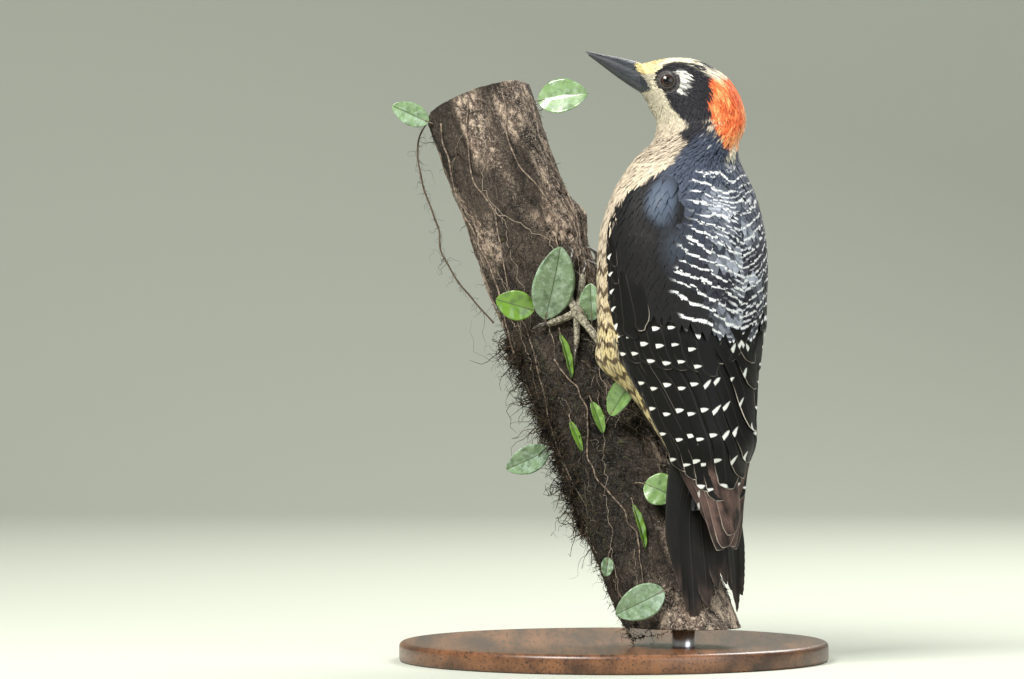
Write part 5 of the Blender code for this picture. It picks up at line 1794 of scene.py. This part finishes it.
# %% Leaves
# Each leaf: angle and height of its foot on the branch, reach from the bark, heading (left share, up
# share), length, width, twist in degrees, fold, and how pale it is.
LEAVES = [
    (-25.0, 171.0, 2.0, (0.98, 0.16), 15.7, 11.2, 18, 0.20, 0.55),
    (-20.3, 104.5, 2.0, (0.18, 1.0), 23.0, 13.4, -6, 0.10, 0.95),
    (-23.5, 107.6, 3.0, (-1.0, 0.26), 12.2, 9.0, 12, 0.15, 0.0),
    (-7.2, 104.6, 1.0, (-0.1, 1.0), 11.5, 7.0, 20, 0.2, 0.8),
    (-15.8, 100.0, 2.4, (0.24, -1.0), 14.0, 2.8, 30, 0.6, 0.05),
    (-1.7, 75.2, 3.5, (0.5, 0.86), 17.2, 7.4, 35, 0.5, 0.3),
    (7.4, 88.0, 4.5, (0.08, -1.0), 10.0, 3.4, 20, 0.5, 0.0),
    (-6.6, 79.2, 2.5, (0.33, -1.0), 10.3, 3.4, 10, 0.5, 0.15),
    (-12.4, 74.0, 1.5, (0.35, -1.0), 10.0, 2.2, 0, 0.5, 0.0),
    (-19.2, 65.3, 1.0, (-0.92, -0.42), 14.4, 8.4, 10, 0.15, 0.85),
    (8.4, 54.4, 3.0, (0.9, -0.42), 10.5, 10.2, 5, 0.15, 0.35),
    (6.1, 48.8, 2.4, (0.26, -1.0), 14.0, 2.8, 30, 0.5, 0.0),
    (15.1, 23.4, 2.4, (-0.86, -0.42), 16.5, 10.5, 8, 0.15, 0.85),
    (-1.7, 33.6, 1.0, (-0.15, -1.0), 6.0, 4.0, 10, 0.2, 0.8),
    (-56.0, 165.5, 1.0, (-1.0, 0.42), 12.5, 7.0, 5, 0.15, 0.7),
    (-40.0, 130.0, -2.0, (0.3, 0.9), 12.0, 7.0, 10, 0.2, 0.5),
    (-10.0, 80.0, -2.0, (-0.4, 0.9), 12.0, 7.0, -20, 0.2, 0.4),
    (10.0, 40.0, -2.0, (0.9, -0.1), 10.0, 6.0, 10, 0.2, 0.5),
]
grid_angle, grid_height = np.meshgrid(np.arange(0, 360, 2.0), np.arange(14, 170, 0.7), indexing="ij")
grid_place = perch_point(grid_angle, grid_height, 0.3)
grid_away = perch_point(grid_angle, grid_height, 1.3) - grid_place


def leaf_foot(x, z, front):
    """The place on the front (or back) of the branch nearest to a point of the front view."""
    gap = np.hypot(grid_place[..., 0] - x, grid_place[..., 2] - z) + 90 * (grid_away[..., 1] * front > 0)
    at = np.unravel_index(gap.argmin(), gap.shape)
    return grid_place[at], grid_away[at]


rows, columns = 30, 17
u = np.linspace(0, 1, rows)[:, None]
v = np.linspace(-1, 1, columns)[None, :]
packs = {key: [] for key in ("points", "vein", "pale", "patch")}
petioles = []
for index, (x, z, reach, (aside, up), length, width, twist, fold, pale) in enumerate(LEAVES):
    front, reach = math.copysign(1, reach), abs(reach)
    foot, outward = leaf_foot(x, z, front)
    facing = np.array([0.25, -front, 0.1])
    heading = np.array([aside, 0, up]) + 0.2 * facing
    heading /= np.linalg.norm(heading)
    normal = facing - heading * (facing @ heading)
    normal /= np.linalg.norm(normal)
    beside = np.cross(heading, normal)
    turn = math.radians(twist)
    beside, normal = (beside * math.cos(turn) + normal * math.sin(turn),
                      normal * math.cos(turn) - beside * math.sin(turn))
    half = width / 2 * np.sin(np.pi * np.clip(u, 0.001, 1) ** 0.9) ** 0.62 + 0.10
    base_point = foot + outward * reach
    bow = foot + outward * reach * 0.6 - heading * 1.6
    petioles.append(bezier([foot - outward * 0.6 - heading * 2.5, bow, base_point + heading * 2.4], 20))
    spine = base_point + heading * length * u
    bend = -1.2 * (u - 0.35) ** 2 * length * 0.12
    cup = fold * half * np.abs(v) + 0.12 * np.sin(u * 21 + 2.2 * np.abs(v)) * np.abs(v)
    blade = spine[:, None, :] + (half * v)[..., None] * beside + (bend + cup)[..., None] * normal
    packs["points"].append(closed_sheet(blade, blade - 0.16 * normal))
    vein = on_sheet(np.abs(v) * half, (rows, columns))
    vein[-2:] = 0
    packs["vein"].append(vein)
    packs["pale"].append(np.full(len(vein), pale))
    packs["patch"].append(sheet_map((v[0] + 1) / 2, u[:, 0], index, len(LEAVES)))
leaf = Finish("leaf", Roughness=0.32, Specular_IOR_Level=0.5, Coat_Weight=0.6, Coat_Roughness=0.12)
along = np.tile(np.append(np.repeat(u[:, 0], columns * 2), [0, 1]), len(LEAVES))
green = leaf.mix(paint(96, 134, 34), paint(116, 140, 108), leaf.read("pale"))
green = leaf.mix(green, paint(40, 64, 30), 0.6 * leaf.noise(2.2, 5.0).band(0.42, 0.72))
ribs = (leaf.read("along") * 9.0 - leaf.read("vein") * 0.35).from_whole()
veins = (1.0 - ribs.band(0.02, 0.09)) * 0.45 + (1.0 - leaf.read("vein").band(0.12, 0.3))
bloom = leaf.noise(1.4, 6.0, 0.7).band(0.45, 0.65) * leaf.read("pale")
green = leaf.mix(green, paint(176, 196, 178), 0.5 * bloom)
green = leaf.mix(green, paint(168, 188, 130), 0.12 * veins)
leaf.set("Base Color", leaf.mix(green, paint(38, 54, 26), 0.75 * (1.0 - leaf.read("vein").band(0.10, 0.26))))
leaf.bump(veins, 0.12, -0.5)
faces = [part[:, ::-1] for part in tube_faces(rows, columns * 2, len(LEAVES))]
values = {"vein": np.concatenate(packs["vein"]), "pale": np.concatenate(packs["pale"]), "along": along}
make_piece("leaves", np.stack(packs["points"]), faces, leaf.material, ["perch"],
           {"OFBake": np.concatenate(packs["patch"])}, values)
rings = close_rings(carry(np.stack(petioles), np.linspace(0.28, 0.12, 20) * np.ones((len(LEAVES), 1)), 6))
make_piece("petioles", rings, tube_faces(20, 6, len(LEAVES)), stem.material, ["perch"],
           {"OFBake": tube_map(20, 6, len(LEAVES))})

# %% [markdown]
# ## Stand
# A turned disc of walnut and a short steel pin, both plain.

# %% Base and rod


def turned(name, profile, centre, finish, replaces, sides=160):
    """A lathe: turn a closed profile of (radius, height) round an upright axis."""
    profile = np.asarray(profile, float)
    turn = np.arange(sides) * 2 * math.pi / sides
    circle = np.stack([np.cos(turn), np.sin(turn), 0 * turn], -1)
    rings = profile[:, :1, None] * circle + profile[:, 1, None, None] * UP + np.append(centre, 0.0)
    make_piece(name, close_rings(rings), tube_faces(len(profile), sides), finish, replaces,
               {"OFBake": tube_map(len(profile), sides)})


walnut = Finish("walnut", Roughness=0.38, Specular_IOR_Level=0.4, Coat_Weight=0.3, Coat_Roughness=0.25)
figure = walnut.noise(9.0, 5.0, 0.6, (1.0, 0.10, 1.0))
pores = walnut.noise(0.7, 3.0, 0.5, (1.0, 0.05, 1.0))
tint = walnut.mix(paint(64, 40, 26), paint(126, 84, 54), figure.band(0.3, 0.7))
walnut.set("Base Color", walnut.mix(tint, paint(34, 22, 15), 0.7 * (1.0 - pores.band(0.34, 0.46))))
walnut.bump(pores, 0.1, 0.3)
steel = Finish("brushed_steel", Metallic=1.0, Base_Color=(0.55, 0.55, 0.56), Roughness=0.3)
bend = np.linspace(0, math.pi / 2, 9)
edge = [(66 - 1.6 + 1.6 * math.cos(b), 6 - 1.6 + 1.6 * math.sin(b)) for b in bend]
under = [(0.5, 0.0), (30, 0.0), (65.2, 0.0), (65.8, 0.3), (66, 0.8)]
top = [(r, 6.0) for r in (58, 44, 30, 16, 4, 0.5)]
turned("stand_base", under + edge + top, (0, 0), walnut.material, ["stand_base"])
rod = [(0.3, 5.6), (3.5, 5.6), (3.5, 5.9), (3.5, 6.0), (3.5, 12.2), (0.3, 12.2)]
turned("stand_rod", rod, ((ROD_LOW + ROD_HIGH) / 2)[:2], steel.material, ["stand_rod"], 64)

# %% [markdown]
# ## Floor, light and camera
# Soft studio light from the left and above, a weaker fill from the right and a rim light from behind,
# over a plain pale sheet. The lens is long, so nothing is stretched.

# %% Stage, lights and camera


def stage_piece(name, points, faces, colour):
    """A backdrop or floor, which isn't part of the model; it can't be seen from behind."""
    mesh = bpy.data.meshes.new(name)
    mesh.from_pydata((np.asarray(points) * MM).tolist(), [], faces.tolist())
    mesh.shade_smooth()
    finish = Finish(name, Base_Color=colour, Roughness=0.9, Specular_IOR_Level=0.1)
    finish.set("Alpha", 1.0 - finish.node("ShaderNodeNewGeometry", output="Backfacing"))
    mesh.materials.append(finish.material)
    made = bpy.data.objects.new(name, mesh)
    bpy.context.scene.collection.objects.link(made)


turn = np.linspace(0, math.pi / 2, 24)
bend = np.stack([900 + 500 * np.sin(turn), 500 - 500 * np.cos(turn)], -1)
sweep = np.concatenate([[[-2600.0, 0.0]], bend, [[1400, 3000]]])
cove = np.array([[(x, y, z) for x in (-2600.0, 2600.0)] for y, z in sweep])
stage_piece("floor_and_backdrop", cove.reshape(-1, 3), quads(len(sweep), 2), paint(180, 184, 172))


def area_light(name, at, size, power, colour):
    """A square lamp at a place in millimetres, turned towards the bird."""
    lamp = bpy.data.lights.new(name, "AREA")
    lamp.shape, lamp.size, lamp.energy, lamp.color = "SQUARE", size * MM, power, colour
    made = bpy.data.objects.new(name, lamp)
    made.location = np.array(at) * MM
    aim = np.array([0.0, -20.0, 110.0]) - np.array(at)
    level = math.hypot(aim[0], aim[1])
    made.rotation_euler = (math.atan2(level, -aim[2]), 0.0, math.atan2(-aim[0], aim[1]))
    bpy.context.scene.collection.objects.link(made)


area_light("key", (-420, -560, 820), 420, 20.0, (1.0, 0.98, 0.95))
area_light("fill", (700, -760, 340), 800, 6.5, (0.90, 0.95, 1.0))
area_light("rim", (350, 500, 700), 500, 9.0, (1.0, 0.98, 0.95))
world = bpy.data.worlds.new("sky")
world.use_nodes = True
world.node_tree.nodes["Background"].inputs["Color"].default_value = (0.82, 0.86, 0.84, 1.0)
world.node_tree.nodes["Background"].inputs["Strength"].default_value = 0.32
bpy.context.scene.world = world
bpy.context.scene.view_settings.view_transform = "Standard"

camera = bpy.data.cameras.new("camera")
camera.lens = 280.0
camera.sensor_width = 36.0
camera.clip_start, camera.clip_end = 0.1, 20.0
eye = bpy.data.objects.new("camera", camera)
distance = 311.3 * camera.lens / camera.sensor_width
tilt = math.radians(1.6)
target = np.array([-31.3, -25.0, 99.4])
eye.location = (target + distance * np.array([0.0, -math.cos(tilt), math.sin(tilt)])) * MM
eye.rotation_euler = (math.pi / 2 - tilt, 0.0, 0.0)
bpy.context.scene.collection.objects.link(eye)
bpy.context.scene.camera = eye
print("camera stands %.2f m away, %.0f mm up" % (distance * MM, eye.location.z / MM))
